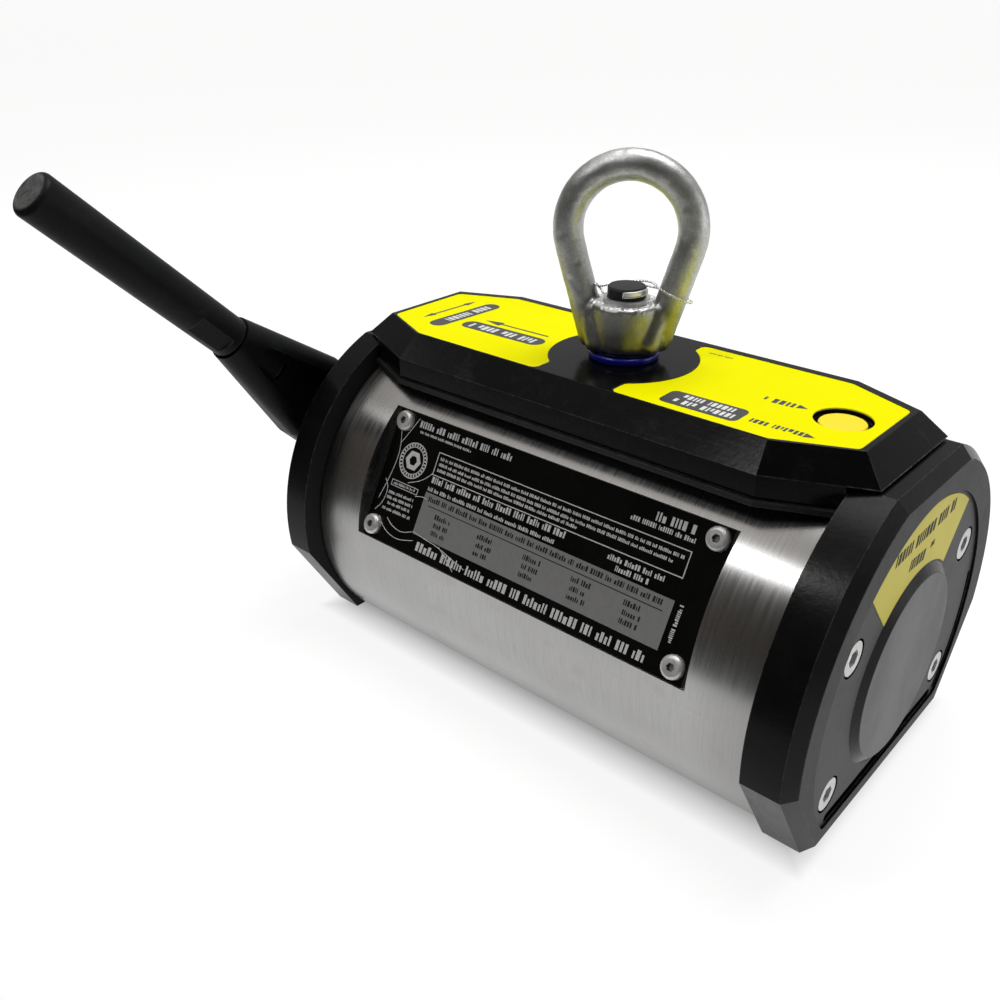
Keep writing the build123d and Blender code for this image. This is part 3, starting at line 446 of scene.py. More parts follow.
def plated(name, base=0.62, rough=0.24, warm=0.012, pits=0.3, coarse=260.0, metal=1.0):
    """Zinc-plated steel, dull where metal is below 1, with painted shade in its recesses."""
    s = Shader(name).set(metal=metal)
    broad = s.noise(coarse * 0.25, 4.0, 0.6)
    skin = s.noise(coarse * 4, 4.0, 0.6)
    fine = s.noise(coarse * 14, 2.0, 0.6)
    tone = s.mix(s.span(broad, 0.3, 0.7), grey(base * 0.78, warm), grey(base * 1.08, warm * 0.5))
    tone = s.mix(s.span(skin, 0.55, 0.8, 0.0, 0.35), tone, grey(base * 0.5, warm * 2))
    # painted shade: near black deep in recesses, such as screw sockets
    tone = s.mix(s.hollow(0.0022, 0.25, 0.75), tone, grey(0.015, 0.05))
    gloss = s.math("ADD", s.span(broad, 0.3, 0.7, rough - 0.05, rough + 0.07),
                   s.span(skin, 0.3, 0.7, -0.04, 0.06))
    normal = s.bump(fine, pits * 0.4, 0.00005, s.bump(skin, pits, 0.00025))
    return s.finish(tone, gloss, normal)


def forged_zinc():
    """Forged and plated eye: grainy zinc, darker on the boss, bright on its flat top."""
    s = Shader("forged_zinc").set(metal=1.0)
    x, y, z = s.xyz()
    broad = s.noise(70.0, 4.0, 0.6)
    grain = s.noise(1150.0, 4.0, 0.65)
    fine = s.noise(3600.0, 2.0, 0.6)
    runs = s.noise(1.0, 4.0, 0.65, s.stretched(420, 420, 60))
    tone = s.mix(s.span(broad, 0.3, 0.7), (0.44, 0.455, 0.435, 1), (0.60, 0.615, 0.60, 1))
    tone = s.mix(s.span(grain, 0.42, 0.62, 0.0, 0.5), tone, grey(0.30, 0.0))
    tone = s.mix(s.span(grain, 0.60, 0.74, 0.0, 0.8), tone, grey(0.92, 0.0))
    tone = s.mix(s.span(runs, 0.55, 0.8, 0.0, 0.4), tone, grey(0.22, 0.04))
    tone = s.mix(s.span(z, 0.1690, 0.1745, 0.55, 0.0), tone, grey(0.20, 0.02))
    top = s.math("MULTIPLY", s.span(z, 0.1712, 0.1719), s.span(z, 0.1740, 0.1724))
    top = s.math("MULTIPLY", top, s.span(s.length(x, y), 0.0152, 0.0138))
    tone = s.mix(s.math("MULTIPLY", top, s.span(grain, 0.35, 0.6, 0.5, 1.0)), tone, grey(0.80))
    gloss = s.math("ADD", s.span(broad, 0.3, 0.7, 0.36, 0.48),
                   s.span(grain, 0.3, 0.7, -0.04, 0.08))
    normal = s.bump(fine, 0.20, 0.00006, s.bump(grain, 0.55, 0.00016, s.bump(runs, 0.2, 0.0002)))
    return s.finish(tone, gloss, normal)


def turned(name, base=0.5, rough=0.28, rings=2600.0):
    """Machined metal with turning marks round the rotor axis."""
    s = Shader(name).set(metal=1.0)
    marks = s.noise(1.0, 2.0, 0.6, s.round_axis(rings, 0.6, rings))
    broad = s.noise(60.0, 3.0, 0.6)
    tone = s.mix(s.span(marks, 0.3, 0.7), grey(base * 0.8, 0.01), grey(base * 1.15, 0.01))
    gloss = s.math("ADD", s.span(marks, 0.3, 0.7, rough - 0.05, rough + 0.06),
                   s.span(broad, 0.3, 0.7, -0.03, 0.05))
    return s.finish(tone, gloss, s.bump(marks, 0.2, 0.00008))


def plate_paint():
    """Gloss black face; the plate's cut edges are bare."""
    s = Shader("plate_paint").set(spec=0.16)
    outward = s.along(0.0, -math.cos(PLATE_ANGLE), math.sin(PLATE_ANGLE))
    face = s.span(outward, 0.90, 0.99)
    broad = s.noise(30.0, 4.0, 0.6)
    fine = s.noise(1900.0, 2.0, 0.6)
    specks = s.voronoi(700.0)
    tone = s.mix(s.span(broad, 0.35, 0.75), grey(0.002), grey(0.005))
    tone = s.mix(s.span(specks, 0.10, 0.04, 0.0, 0.25), tone, grey(0.09))
    tone = s.mix(face, s.mix(fine, grey(0.38, 0.01), grey(0.52, 0.01)), tone)
    gloss = s.math("ADD", s.span(broad, 0.3, 0.75, 0.12, 0.20), s.span(face, 0.0, 1.0, 0.15, 0.0))
    return s.finish(tone, gloss, s.bump(fine, 0.06, 0.00006), s.span(face, 0.0, 1.0, 1.0, 0.0))


def coloured(name, colour, dark, rough=0.3, coat=0.0, grain=0.12, mottled=0.5, spec=0.5,
             metal=0.0):
    """Plastic, film, rubber or coloured metal with a slightly uneven colour."""
    s = Shader(name).set(coat=coat, coat_rough=0.08, spec=spec, metal=metal)
    broad = s.noise(38.0, 4.0, 0.6)
    fine = s.noise(1800.0, 3.0, 0.6)
    tone = s.mix(s.span(broad, 0.4, 0.75, 0.0, mottled), colour, dark)
    tone = s.mix(s.span(fine, 0.55, 0.8, 0.0, 0.25), tone, dark)
    gloss = s.math("ADD", s.span(broad, 0.3, 0.7, rough - 0.04, rough + 0.06),
                   s.span(fine, 0.3, 0.7, -0.03, 0.04))
    return s.finish(tone, gloss, s.bump(fine, grain, 0.00008))


def ink(name, tone, worn, rough=0.35, spec=0.3):
    """Printed ink, thin and slightly broken up."""
    s = Shader(name).set(spec=spec)
    blots = s.noise(420.0, 4.0, 0.6)
    fine = s.noise(2400.0, 2.0, 0.6)
    colour = s.mix(s.span(blots, 0.45, 0.75, 0.0, 0.5), tone, worn)
    colour = s.mix(s.span(fine, 0.58, 0.8, 0.0, 0.4), colour, worn)
    return s.finish(colour, s.span(blots, 0.3, 0.7, rough - 0.05, rough + 0.05),
                    s.bump(fine, 0.08, 0.00005))


def make_materials():
    zinc = plated("zinc_screws", 0.66, 0.38, 0.01, 0.25, 700.0, 0.6)
    yellow, amber = (0.82, 0.79, 0.001, 1), (0.77, 0.72, 0.001, 1)
    film = coloured("yellow_film", yellow, amber, 0.42, grain=0.05, mottled=0.35, spec=0.005)
    gloss = black_coat("cover_gloss", 0.002, 0.17, 0.10, 0.25, 0.30, 0.8, 0.10)
    brass_tone, brass_dark = (0.55, 0.41, 0.17, 1), (0.38, 0.27, 0.11, 1)
    bronze_tone, bronze_dark = (0.42, 0.27, 0.11, 1), (0.28, 0.17, 0.07, 1)
    arc_tone, arc_dark = (0.66, 0.58, 0.09, 1), (0.58, 0.51, 0.09, 1)
    plug_tone, plug_dark = (0.88, 0.71, 0.04, 1), (0.82, 0.64, 0.03, 1)
    blue_tone, blue_dark = (0.006, 0.010, 0.30, 1), (0.004, 0.006, 0.15, 1)
    groups = {
        steel_body(): ("front_pole", "rear_pole"),
        coloured("brass", brass_tone, brass_dark, 0.3, metal=1.0):
            ("top_spacer", "bottom_spacer"),
        cap_coat(): ("right_end_cap", "left_end_cap"),
        coloured("black_rubber", grey(0.012), grey(0.03), 0.6, grain=0.3, spec=0.3):
            ("right_cap_gasket", "left_cap_gasket", "shaft_seal"),
        black_coat("gasket_satin", 0.010, 0.45, 0.2, 0.2, 0.3): ("cover_gasket",),
        zinc: ("right_cap_screws", "left_cap_screws", "cover_screws", "data_plate_screws",
               "retaining_screw", "retaining_washer", "eye_bolt_washer"),
        coloured("bronze", bronze_tone, bronze_dark, 0.35, metal=1.0):
            ("right_bush", "left_bush", "thrust_washer"),
        coloured("arc_film", arc_tone, arc_dark, 0.4, spec=0.06): ("arc_label",),
        gloss: ("top_cover",),
        film: ("cover_label_left", "cover_label_right"),
        coloured("tag_moulding", plug_tone, plug_dark, 0.5, grain=0.5, spec=0.05):
            ("tag_plug",),
        turned("machined_steel", 0.48):
            ("anchor_block", "eye_nut", "rotor_upper_pole", "rotor_lower_pole",
             "rotor_left_plate", "rotor_right_plate", "rotor_rods", "stop_pin"),
        black_coat("black_oxide", 0.018, 0.42, 0.35, 0.2, 0.4, 0.9):
            ("anchor_screws", "eye_bolt"),
        coloured("blue_polymer", blue_tone, blue_dark, 0.22): ("swivel_ring",),
        black_coat("collar_black", 0.004, 0.3, 0.2, 0.1, 0.2): ("swivel_collar",),
        plated("nickel", 0.6, 0.18, 0.03, 0.1, 500.0): ("rotor_magnets",),
        black_coat("handle_coat", 0.004, 0.40, 0.35, 0.25, 0.4, 0.12, 0.10): ("handle_arm",),
        black_coat("bar_coat", 0.006, 0.45, 0.45, 0.3, 0.6, 1.0, 0.10, end_worn_with_painted_glint=True):
            ("handle_bar",),
        plate_paint(): ("data_plate",),
    }
    for material, names in groups.items():
        for name in names:
            NODES[name].data.materials.clear()
            NODES[name].data.materials.append(material)


# ---- pieces made here ---------------------------------------------------------------
def new_piece(name, bm, material, body, replaced=None):
    """Object from a bmesh in millimetres, riding on a body."""
    bmesh.ops.recalc_face_normals(bm, faces=bm.faces)
    mesh = bpy.data.meshes.new(name)
    bm.to_mesh(mesh)
    bm.free()
    mesh.transform(Matrix.Scale(MM, 4))
    mesh.materials.append(material)
    piece = bpy.data.objects.new(name, mesh)
    scene.collection.objects.link(piece)
    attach(piece, body)
    if replaced:
        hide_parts(replaced)
    return piece


def shade_smooth(piece):
    piece.data.shade_smooth()
    piece.data.set_sharp_from_angle(angle=math.radians(40.0))


def tube(bm, points, radius, sides=16, closed=False):
    """Closed tube along a line of points, without twist."""
    count = len(points)
    rings = []
    side = None
    for i, point in enumerate(points):
        before = points[i - 1] if closed or i else points[0]
        after = points[(i + 1) % count] if closed or i < count - 1 else points[-1]
        along = (after - before).normalized()
        if side is None:
            side = along.orthogonal().normalized()
        side = (side - along * side.dot(along)).normalized()
        over = along.cross(side)
        turns = [2 * math.pi * k / sides for k in range(sides)]
        rings.append([bm.verts.new(point + (side * math.cos(t) + over * math.sin(t)) * radius)
                      for t in turns])
    pairs = list(zip(rings, rings[1:] + rings[:1])) if closed else list(zip(rings, rings[1:]))
    for a, b in pairs:
        for k in range(sides):
            j = (k + 1) % sides
            bm.faces.new((a[k], a[j], b[j], b[k]))
    if not closed:
        bm.faces.new(rings[0])
        bm.faces.new(rings[-1][::-1])


def lathe(bm, profile, centre, steps=96):
    """Closed ring turned about a vertical line; profile is (radius, height) points."""
    rings = []
    for k in range(steps):
        t = 2 * math.pi * k / steps
        rings.append([bm.verts.new(centre + Vector((r * math.cos(t), r * math.sin(t), z)))
                      for r, z in profile])
    for a, b in zip(rings, rings[1:] + rings[:1]):
        for i in range(len(profile)):
            j = (i + 1) % len(profile)
            bm.faces.new((a[i], b[i], b[j], a[j]))


def ball(bm, centre, radius, round_steps, high_steps):
    bmesh.ops.create_uvsphere(bm, u_segments=round_steps, v_segments=high_steps, radius=radius,
                              matrix=Matrix.Translation(centre))


def eye_point(u, v, z):
    """Point in the eye's own frame: u along the ring's plane, v towards the back."""
    c, s = math.cos(EYE_YAW), math.sin(EYE_YAW)
    return Vector((u * c - v * s, u * s + v * c, z + AXIS_Z / MM))


def make_eye():
    """Ring, legs and boss as one forging: joined, evened and smoothed into fillets."""
    bm = bmesh.new()
    bar = EYE_BAR_R + 0.12                       # the smoothing takes off the extra
    tan_u, tan_z = EYE_R * math.cos(EYE_LEAN), EYE_Z - EYE_R * math.sin(EYE_LEAN)
    foot_z = 99.0
    foot_u = tan_u - (tan_z - foot_z) * math.tan(EYE_LEAN)
    leg = [(foot_u + (tan_u - foot_u) * t / 12, foot_z + (tan_z - foot_z) * t / 12)
           for t in range(12)]
    bow = []
    for k in range(65):
        t = -EYE_LEAN + (math.pi + 2 * EYE_LEAN) * k / 64
        bow.append((EYE_R * math.cos(t), EYE_Z + EYE_R * math.sin(t)))
    other = [(-u, z) for u, z in leg[::-1]]
    line = [eye_point(u, 0, z) for u, z in leg + bow + other]
    tube(bm, line, bar, 40)
    for end in (line[0], line[-1]):
        ball(bm, end, bar, 32, 20)
    # webs that fill the corner between each leg and the boss
    for side in (-1, 1):
        for face in (-1, 1):
            for k in range(9):
                t = k / 8
                at = eye_point(side * (10.2 + 3.6 * t), face * (6.6 - 3.6 * t), 98.6 + 12.0 * t)
                ball(bm, at, 5.2 - 0.9 * t, 24, 16)
    z1, z2 = EYE_BOSS_Z
    lathe(bm, ((5.4, z1), (12.7, z1), (13.9, z1 + 1.7), (14.15, z1 + 4), (14.15, z2 - 0.7),
               (13.4, z2), (5.4, z2)), Vector((0, 0, AXIS_Z / MM)))
    piece = new_piece("lifting_eye_forging", bm, forged_zinc(), "swivel", "lifting_eye")
    remesh = piece.modifiers.new("even", "REMESH")
    remesh.mode = "VOXEL"
    remesh.voxel_size = 0.00062
    smooth = piece.modifiers.new("smooth", "SMOOTH")
    smooth.factor = 0.5
    smooth.iterations = 16
    bpy.context.view_layer.update()
    shaped = bpy.data.meshes.new_from_object(
        piece.evaluated_get(bpy.context.evaluated_depsgraph_get()))
    piece.modifiers.clear()
    piece.data = shaped
    low = (EYE_BOSS_Z[0] + 0.03) * MM + AXIS_Z
    for v, normal in zip(shaped.vertices, [n.vector.copy() for n in shaped.vertex_normals]):
        # shallow forging dents, inwards only
        dent = max(0.0, noise.noise(v.co * 230.0)) * 0.28 * MM
        # torn flash round the boss's upper edge
        over = (v.co.z - AXIS_Z) / MM - EYE_BOSS_Z[1]
        on_boss = min(max((15.4 - math.hypot(v.co.x, v.co.y) / MM) / 1.2, 0.0), 1.0)
        torn = math.exp(-(over / 1.6) ** 2) * noise.noise(v.co * 900.0) * 0.7 * MM * on_boss
        v.co += normal * (torn - dent)
        # no lower than the boss's foot, no higher than the CAD model
        v.co.z = min(max(v.co.z, low), cad_high.z)
    shaped.shade_smooth()


def smooth_line(points):
    """Points along the NURBS curve that these points steer."""
    curve = bpy.data.curves.new("line", "CURVE")
    curve.dimensions = "3D"
    spline = curve.splines.new("NURBS")
    spline.points.add(len(points) - 1)
    for p, q in zip(spline.points, points):
        p.co = (*q, 1.0)
    spline.order_u = 4
    spline.use_endpoint_u = True
    spline.resolution_u = 10
    carrier = bpy.data.objects.new("line", curve)
    scene.collection.objects.link(carrier)
    bpy.context.view_layer.update()
    mesh = bpy.data.meshes.new_from_object(
        carrier.evaluated_get(bpy.context.evaluated_depsgraph_get()))
    line = [v.co.copy() for v in mesh.vertices]
    bpy.data.objects.remove(carrier)
    bpy.data.curves.remove(curve)
    bpy.data.meshes.remove(mesh)
    return line


def twisted_pair(bm, line, radius, pitch):
    """Two strands wound round a line."""
    side = None
    walked = 0.0
    strands = ([], [])
    for i, point in enumerate(line):
        along = (line[min(i + 1, len(line) - 1)] - line[max(i - 1, 0)]).normalized()
        side = side or along.orthogonal().normalized()
        side = (side - along * side.dot(along)).normalized()
        over = along.cross(side)
        if i:
            walked += (point - line[i - 1]).length
        t = 2 * math.pi * walked / pitch
        offset = (side * math.cos(t) + over * math.sin(t)) * radius
        strands[0].append(point + offset)
        strands[1].append(point - offset)
    for strand in strands:
        tube(bm, strand, radius, 8)


def make_seal():
    """Twisted wire from the bolt head round the right leg, and its band on the head."""
    wire = plated("bright_wire", 0.92, 0.34, 0.0, 0.15, 900.0, 0.8)
    route = [eye_point(*p) for p in (
        (1.0, 9.4, 119.4), (4.6, 8.6, 120.2), (8.4, 5.2, 121.0), (10.6, 0.4, 121.8),
        (12.4, -5.6, 122.2), (16.0, -9.2, 121.0), (21.4, -8.8, 118.4), (25.4, -4.6, 116.0),
        (26.4, 1.2, 114.8), (24.0, 7.0, 114.9), (17.6, 9.8, 116.0), (8.6, 10.0, 117.6),
        (-1.5, 9.9, 118.4), (-7.8, 6.6, 118.6), (-9.8, 1.2, 118.8), (-11.4, -2.4, 119.8),
        (-13.0, -1.2, 120.6), (-12.4, 0.8, 119.8), (-10.2, -0.8, 118.4), (-8.9, -3.6, 117.4))]
    line = smooth_line(route)
    spacing = 0.22
    dense = []
    for a, b in zip(line, line[1:]):
        steps = max(1, round((b - a).length / spacing))
        dense += [a.lerp(b, k / steps) for k in range(steps)]
    bm = bmesh.new()
    twisted_pair(bm, dense + line[-1:], 0.27, 3.0)
    shade_smooth(new_piece("seal_wire_pair", bm, wire, "swivel", "seal_wire"))
    make_band(wire)


def make_band(material):
    """Flat band round the bolt head: an upset rim round a thin strip."""
    first, last, steps = math.radians(-65), math.radians(17), 24
    low, high, r, tilt = 117.95, 119.85, 8.45, 0.5

    def on_head(k, z, radius):
        t = first + (last - first) * k / steps
        rise = tilt * k / steps - tilt
        return Vector((radius * math.cos(t), radius * math.sin(t), z + rise + AXIS_Z / MM))

    bm = bmesh.new()
    rim = [on_head(k, low, r) for k in range(steps + 1)]
    rim += [on_head(k, high, r) for k in range(steps, -1, -1)]
    tube(bm, rim, 0.30, 8, closed=True)
    section = ((low, r - 0.2), (high, r - 0.2), (high, r + 0.05), (low, r + 0.05))
    strips = [[bm.verts.new(on_head(k, z, radius)) for z, radius in section]
              for k in range(steps + 1)]
    for a, b in zip(strips, strips[1:]):
        for i in range(4):
            j = (i + 1) % 4
            bm.faces.new((a[i], b[i], b[j], a[j]))
    bm.faces.new(strips[0])
    bm.faces.new(strips[-1][::-1])
    shade_smooth(new_piece("seal_band", bm, material, "swivel", "seal_ferrule"))


def make_spring():
    """Return spring with closed ends, inside the hub."""
    low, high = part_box("return_spring")
    wire_r = 1.1
    start, end = high.x / MM - wire_r, low.x / MM + wire_r
    radius = (high.y - low.y) / 2 / MM - wire_r
    turns, flat_turns, steps = 5.5, 0.75, 330
    points = []
    for k in range(steps + 1):
        t = k / steps * turns
        # the first and last turns lie almost flat
        share = min(max((t - flat_turns) / (turns - 2 * flat_turns), 0.0), 1.0)
        x = start + (end - start) * (0.12 * k / steps + 0.88 * share)
        a = 2 * math.pi * t
        points.append(Vector((x, radius * math.cos(a), AXIS_Z / MM + radius * math.sin(a))))
    bm = bmesh.new()
    tube(bm, points, wire_r, 12)
    spring = new_piece("return_spring_coil", bm, plated("spring_steel", 0.5, 0.25), "rotor",
                       "return_spring")
    shade_smooth(spring)
    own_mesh(spring)


# ---- prints -------------------------------------------------------------------------
def box(cx, cy, w, h, r=0.0, turn=0.0):
    """Outline of a rectangle with round corners."""
    steps = 6 if r else 0
    points = []
    for k, (sx, sy) in enumerate(((1, 1), (-1, 1), (-1, -1), (1, -1))):
        for i in range(steps + 1):
            a = math.radians(90 * k + (90 * i / steps if r else 0))
            points.append((sx * (w / 2 - r) + r * math.cos(a), sy * (h / 2 - r) + r * math.sin(a)))
    c, s = math.cos(math.radians(turn)), math.sin(math.radians(turn))
    return [(cx + x * c - y * s, cy + x * s + y * c) for x, y in points]


def disc(cx, cy, r, sides=48):
    turns = [2 * math.pi * k / sides for k in range(sides)]
    return [(cx + r * math.cos(t), cy + r * math.sin(t)) for t in turns]


def turned_by(points, start, dx, dy):
    """Points (along, across) laid out from a start in the direction (dx, dy)."""
    return [(start[0] + a * dx - b * dy, start[1] + a * dy + b * dx) for a, b in points]


class Print:
    """Thin closed shapes on one surface, gathered into one piece."""

    def __init__(self, place, thick=0.06, sink=0.04):
        self.bm = bmesh.new()
        self.place = place
        self.low, self.high = -sink, thick

    def ring(self, outline, level):
        return [self.bm.verts.new(self.place(x, y, level)) for x, y in outline]

    def fill(self, outline):
        low, high = self.ring(outline, self.low), self.ring(outline, self.high)
        self.bm.faces.new(high)
        self.bm.faces.new(low[::-1])
        for i in range(len(low)):
            j = (i + 1) % len(low)
            self.bm.faces.new((low[i], low[j], high[j], high[i]))

    def frame(self, outer, inner):
        """Band between two outlines with as many points."""
        rings = [self.ring(outer, self.low), self.ring(outer, self.high),
                 self.ring(inner, self.high), self.ring(inner, self.low)]
        for a, b in zip(rings, rings[1:] + rings[:1]):
            for i in range(len(a)):
                j = (i + 1) % len(a)
                self.bm.faces.new((a[i], a[j], b[j], b[i]))

    def line(self, points, width):
        """Line through points, tapered at both ends."""
        left, right = [], []
        for i, (x, y) in enumerate(points):
            ax, ay = points[max(i - 1, 0)]
            bx, by = points[min(i + 1, len(points) - 1)]
            length = math.hypot(bx - ax, by - ay)
            half = width / 2 * (0.3 if i in (0, len(points) - 1) else 1.0)
            nx, ny = -(by - ay) / length * half, (bx - ax) / length * half
            left.append((x + nx, y + ny))
            right.append((x - nx, y - ny))
        self.fill(left + right[::-1])

    def arrow(self, start, tip, width, head_l, head_w, double=False):
        length = math.hypot(tip[0] - start[0], tip[1] - start[1])
        dx, dy = (tip[0] - start[0]) / length, (tip[1] - start[1]) / length
        side = [(0.0, width / 2)]
        if double:
            side = [(0.0, 0.0), (head_l, head_w / 2), (head_l, width / 2)]
        side += [(length - head_l, width / 2), (length - head_l, head_w / 2), (length, 0.0)]
        back = [(a, -b) for a, b in side[::-1] if b]
        self.fill(turned_by(side + back, start, dx, dy))

    def dashes(self, start, end, height, seed, lean=0.0, small=0.35):
        """Row of plain upright blocks that stands for a line of small print."""
        dice = random.Random(seed)
        length = math.hypot(end[0] - start[0], end[1] - start[1])
        dx, dy = (end[0] - start[0]) / length, (end[1] - start[1]) / length
        at, left = 0.0, dice.randint(3, 8)
        while at < length:
            wide = height * dice.uniform(0.16, 0.46)
            tall = height * (0.72 if dice.random() < small else 1.0)
            if at + wide > length:
                break
            slide = lean * tall
            corners = ((at, 0), (at + wide, 0), (at + wide + slide, tall), (at + slide, tall))
            self.fill(turned_by(corners, start, dx, dy))
            at += wide + height * 0.19
            left -= 1
            if left <= 0:
                at += height * 0.45
                left = dice.randint(3, 8)

    def piece(self, name, material, finish_from):
        return new_piece(name, self.bm, material, "body", None)


def on_label(x, y, w):
    return Vector((x, y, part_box("cover_label_left")[1].z / MM + w))


def on_plate(x, h, w):
    reach = PLATE_DIST + w
    c, s = math.cos(PLATE_ANGLE), math.sin(PLATE_ANGLE)
    return Vector((x, -reach * c + h * s, AXIS_Z / MM + reach * s + h * c))


def on_cap(y, z, w):
    return Vector((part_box("arc_label")[1].x / MM + w, y, AXIS_Z / MM + z))


def print_labels(black, white):
    dark, light = Print(on_label), Print(on_label, 0.10, 0.0)
    # turning mark: a pill along Y and a double arrow beside it
    dark.fill(box(-87.6, -2.4, 8.4, 41.0, 4.1, -3.4))
    light.dashes((-88.9, 12.6), (-90.6, -16.0), 4.4, 3, 0.0, 0.1)
    dark.arrow((-99.7, -17.6), (-97.7, 15.2), 1.15, 6.6, 3.3, double=True)
    # pulling mark: a pill along X and a long arrow towards the handle
    dark.fill(box(-57.3, -10.6, 45.0, 9.2, 4.5, 1.4))
    light.dashes((-39.4, -7.9), (-75.6, -8.9), 5.0, 8, 0.0, 0.1)
    dark.arrow((-38.9, -1.6), (-74.8, -2.4), 1.15, 9.5, 4.6)
    # plain end: a dark panel with two rows, small pointers and rows of dashes
    dark.fill(box(53.1, -24.1, 32.6, 12.6, 2.8, 0.8))
    light.dashes((66.8, -24.3), (40.6, -24.8), 3.9, 5, 0.0, 0.1)
    light.dashes((64.4, -19.2), (41.2, -19.6), 3.7, 12, 0.0, 0.1)
    for x, y in ((83.6, -2.4), (97.2, -24.2)):
        dark.fill([(x, y), (x - 4.0, y + 1.9), (x - 4.0, y - 1.9)])
    dark.dashes((78.4, -0.6), (64.4, -1.2), 4.2, 21, 0.0, 0.1)
    dark.dashes((92.6, -22.4), (71.8, -22.8), 3.4, 30, 0.0, 0.1)
    dark.dashes((35.6, 26.9), (24.6, 26.5), 1.2, 34)
    dark.piece("cover_label_marks", black, "cover_label_left")
    light.piece("cover_label_rows", white, "cover_label_left")


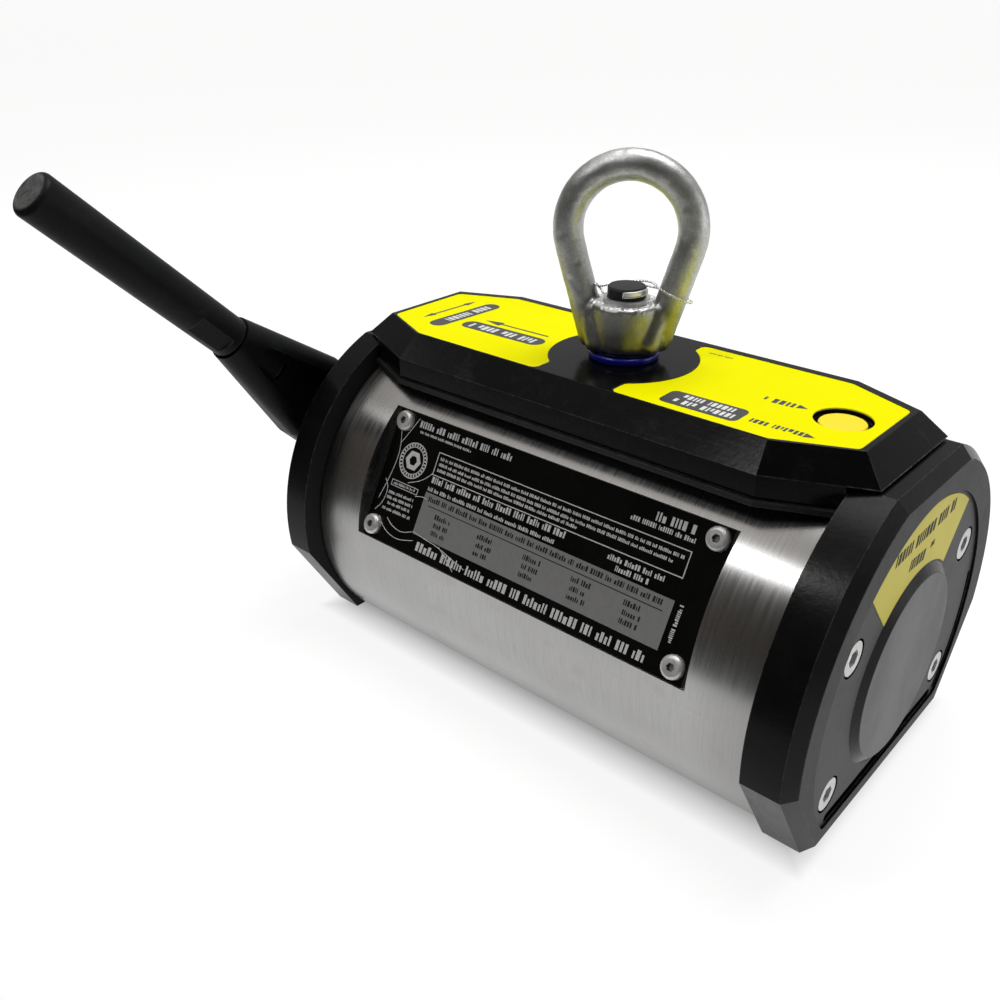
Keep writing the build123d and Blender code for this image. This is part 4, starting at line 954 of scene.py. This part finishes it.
def print_plate(white, panel, black):
    bare, field, dark = Print(on_plate), Print(on_plate), Print(on_plate, 0.10, 0.0)
    # start, end and height of each row of dashes
    rows = (
        ((-71.9, 23.7), (-17.6, 23.7), 3.0), ((-70.6, 21.3), (-39.6, 21.1), 1.1),
        ((52.4, 22.4), (71.0, 22.6), 3.5), ((42.3, 19.6), (70.8, 19.6), 1.9),
        ((-54.7, 13.4), (68.6, 13.0), 1.35), ((-54.6, 10.9), (65.2, 10.2), 1.35),
        ((-54.7, 8.4), (21.4, 8.2), 1.35), ((-55.7, 3.0), (19.4, 3.0), 2.8),
        ((-56.4, -0.7), (14.0, -0.7), 1.7), ((38.5, 2.4), (64.2, 2.6), 2.2),
        ((43.2, -0.8), (58.2, -0.7), 2.2), ((-52.8, -27.0), (66.9, -27.9), 3.9),
        ((-77.6, -8.6), (-62.4, -8.2), 1.3), ((-77.8, -11.0), (-61.4, -10.8), 1.3),
        ((-76.4, -13.4), (-62.6, -13.2), 1.3), ((-78.6, -16.2), (-60.4, -16.0), 1.3),
        ((-76.4, -4.0), (-63.2, -3.8), 1.1), ((74.4, -16.9), (74.6, -2.1), 1.6))
    for seed, (start, end, height) in enumerate(rows):
        bare.dashes(start, end, height, seed)
    bare.frame(box(7.0, 11.5, 127.2, 10.4), box(7.0, 11.5, 126.4, 9.6))
    bare.frame(box(-69.6, -3.4, 16.4, 2.8), box(-69.6, -3.4, 15.8, 2.2))
    # round emblem: two rings with ticks between them and a plain hexagon
    ex, ey, ticks, tick_r = -69.5, 8.8, 28, 6.95
    bare.frame(disc(ex, ey, 8.1), disc(ex, ey, 7.6))
    bare.frame(disc(ex, ey, 6.3), disc(ex, ey, 5.9))
    for k in range(ticks):
        t = 2 * math.pi * k / ticks
        bare.fill(box(ex + tick_r * math.cos(t), ey + tick_r * math.sin(t), 1.0, 0.75,
                      turn=math.degrees(t)))
    bare.frame(disc(ex, ey, 4.6, 6), disc(ex, ey, 2.3, 6))
    # bare panel with a ruled heading and five columns
    field.fill(box(6.8, -11.4, 127.4, 19.2, turn=-0.3))
    dark.dashes((-54.2, -5.0), (66.4, -5.6), 2.2, 40)
    dark.fill(box(7.0, -7.1, 120.6, 0.35, turn=-0.25))
    cells = ((-11.2, 9.6, 2.2), (-14.7, 8.2, 2.0), (-18.1, 8.6, 2.0))    # foot, width, height
    for column, x in enumerate((-43.0, -18.2, 6.7, 31.2, 56.0)):
        for row, (h, wide, tall) in enumerate(cells):
            dark.dashes((x - wide / 2, h), (x + wide / 2, h), tall, 50 + 3 * column + row)
    bare.piece("plate_bare_marks", white, "data_plate")
    field.piece("plate_bare_panel", panel, "data_plate")
    dark.piece("plate_dark_rows", black, "data_plate")
    # scratches and a crease in the plate's film at the handle end
    worn = Print(on_plate, 0.14, 0.0)
    for points in (((-68.6, -1.2), (-62.0, 1.6), (-58.4, 4.6), (-56.4, 7.0)),
                   ((-57.2, -19.8), (-49.0, -20.9), (-42.0, -21.4), (-33.0, -23.6),
                    (-24.0, -25.6)),
                   ((-41.0, -21.3), (-34.5, -24.8), (-29.5, -28.6)),
                   ((-78.6, -19.6), (-75.2, -23.2), (-70.0, -25.6), (-63.6, -26.2),
                    (-55.4, -23.6)),
                   ((-73.8, -19.0), (-69.4, -21.8), (-63.0, -22.6), (-57.4, -20.2)),
                   ((-81.6, 20.6), (-78.4, 10.4), (-79.6, -1.0), (-82.4, -12.6)),
                   ((-73.0, 27.4), (-76.2, 20.6), (-79.8, 14.0)),
                   ((-62.0, -5.4), (-57.9, -4.2), (-55.0, -4.6)),
                   ((-81.9, -3.0), (-78.6, -6.0), (-78.9, -13.4), (-82.6, -18.0))):
        worn.line(smooth_track(points), 0.30)
    worn.piece("plate_scratches", white, "data_plate")


def smooth_track(points):
    """Scratch with its corners cut twice."""
    for _ in range(2):
        cut = [points[0]]
        for (ax, ay), (bx, by) in zip(points, points[1:]):
            cut += [(ax * 0.75 + bx * 0.25, ay * 0.75 + by * 0.25),
                    (ax * 0.25 + bx * 0.75, ay * 0.25 + by * 0.75)]
        points = cut + [points[-1]]
    return points


def print_cap(black):
    rows = Print(on_cap)
    rows.dashes((-28.3, 55.0), (25.3, 56.4), 4.8, 61, 0.1, 0.0)
    rows.dashes((-13.4, 46.6), (3.9, 45.4), 4.6, 64, 0.1, 0.0)
    rows.dashes((5.2, 48.2), (10.6, 48.8), 2.2, 66, 0.1, 0.0)
    rows.piece("arc_label_rows", black, "arc_label")


def make_prints():
    black = ink("ink_black", grey(0.012), grey(0.04))
    white = ink("ink_white", grey(0.72), grey(0.50), 0.4)
    silver = ink("plate_silver", grey(0.21), grey(0.16), 0.35, 0.5)
    print_labels(ink("ink_charcoal", grey(0.045), grey(0.07)), white)
    print_plate(ink("plate_bright", grey(0.60), grey(0.40), 0.35, 0.5), silver, black)
    print_cap(ink("ink_brown", grey(0.03, 0.1), grey(0.06, 0.1), 0.5, 0.05))


make_camera()
make_studio()
make_materials()
make_eye()
make_seal()
make_spring()
make_prints()
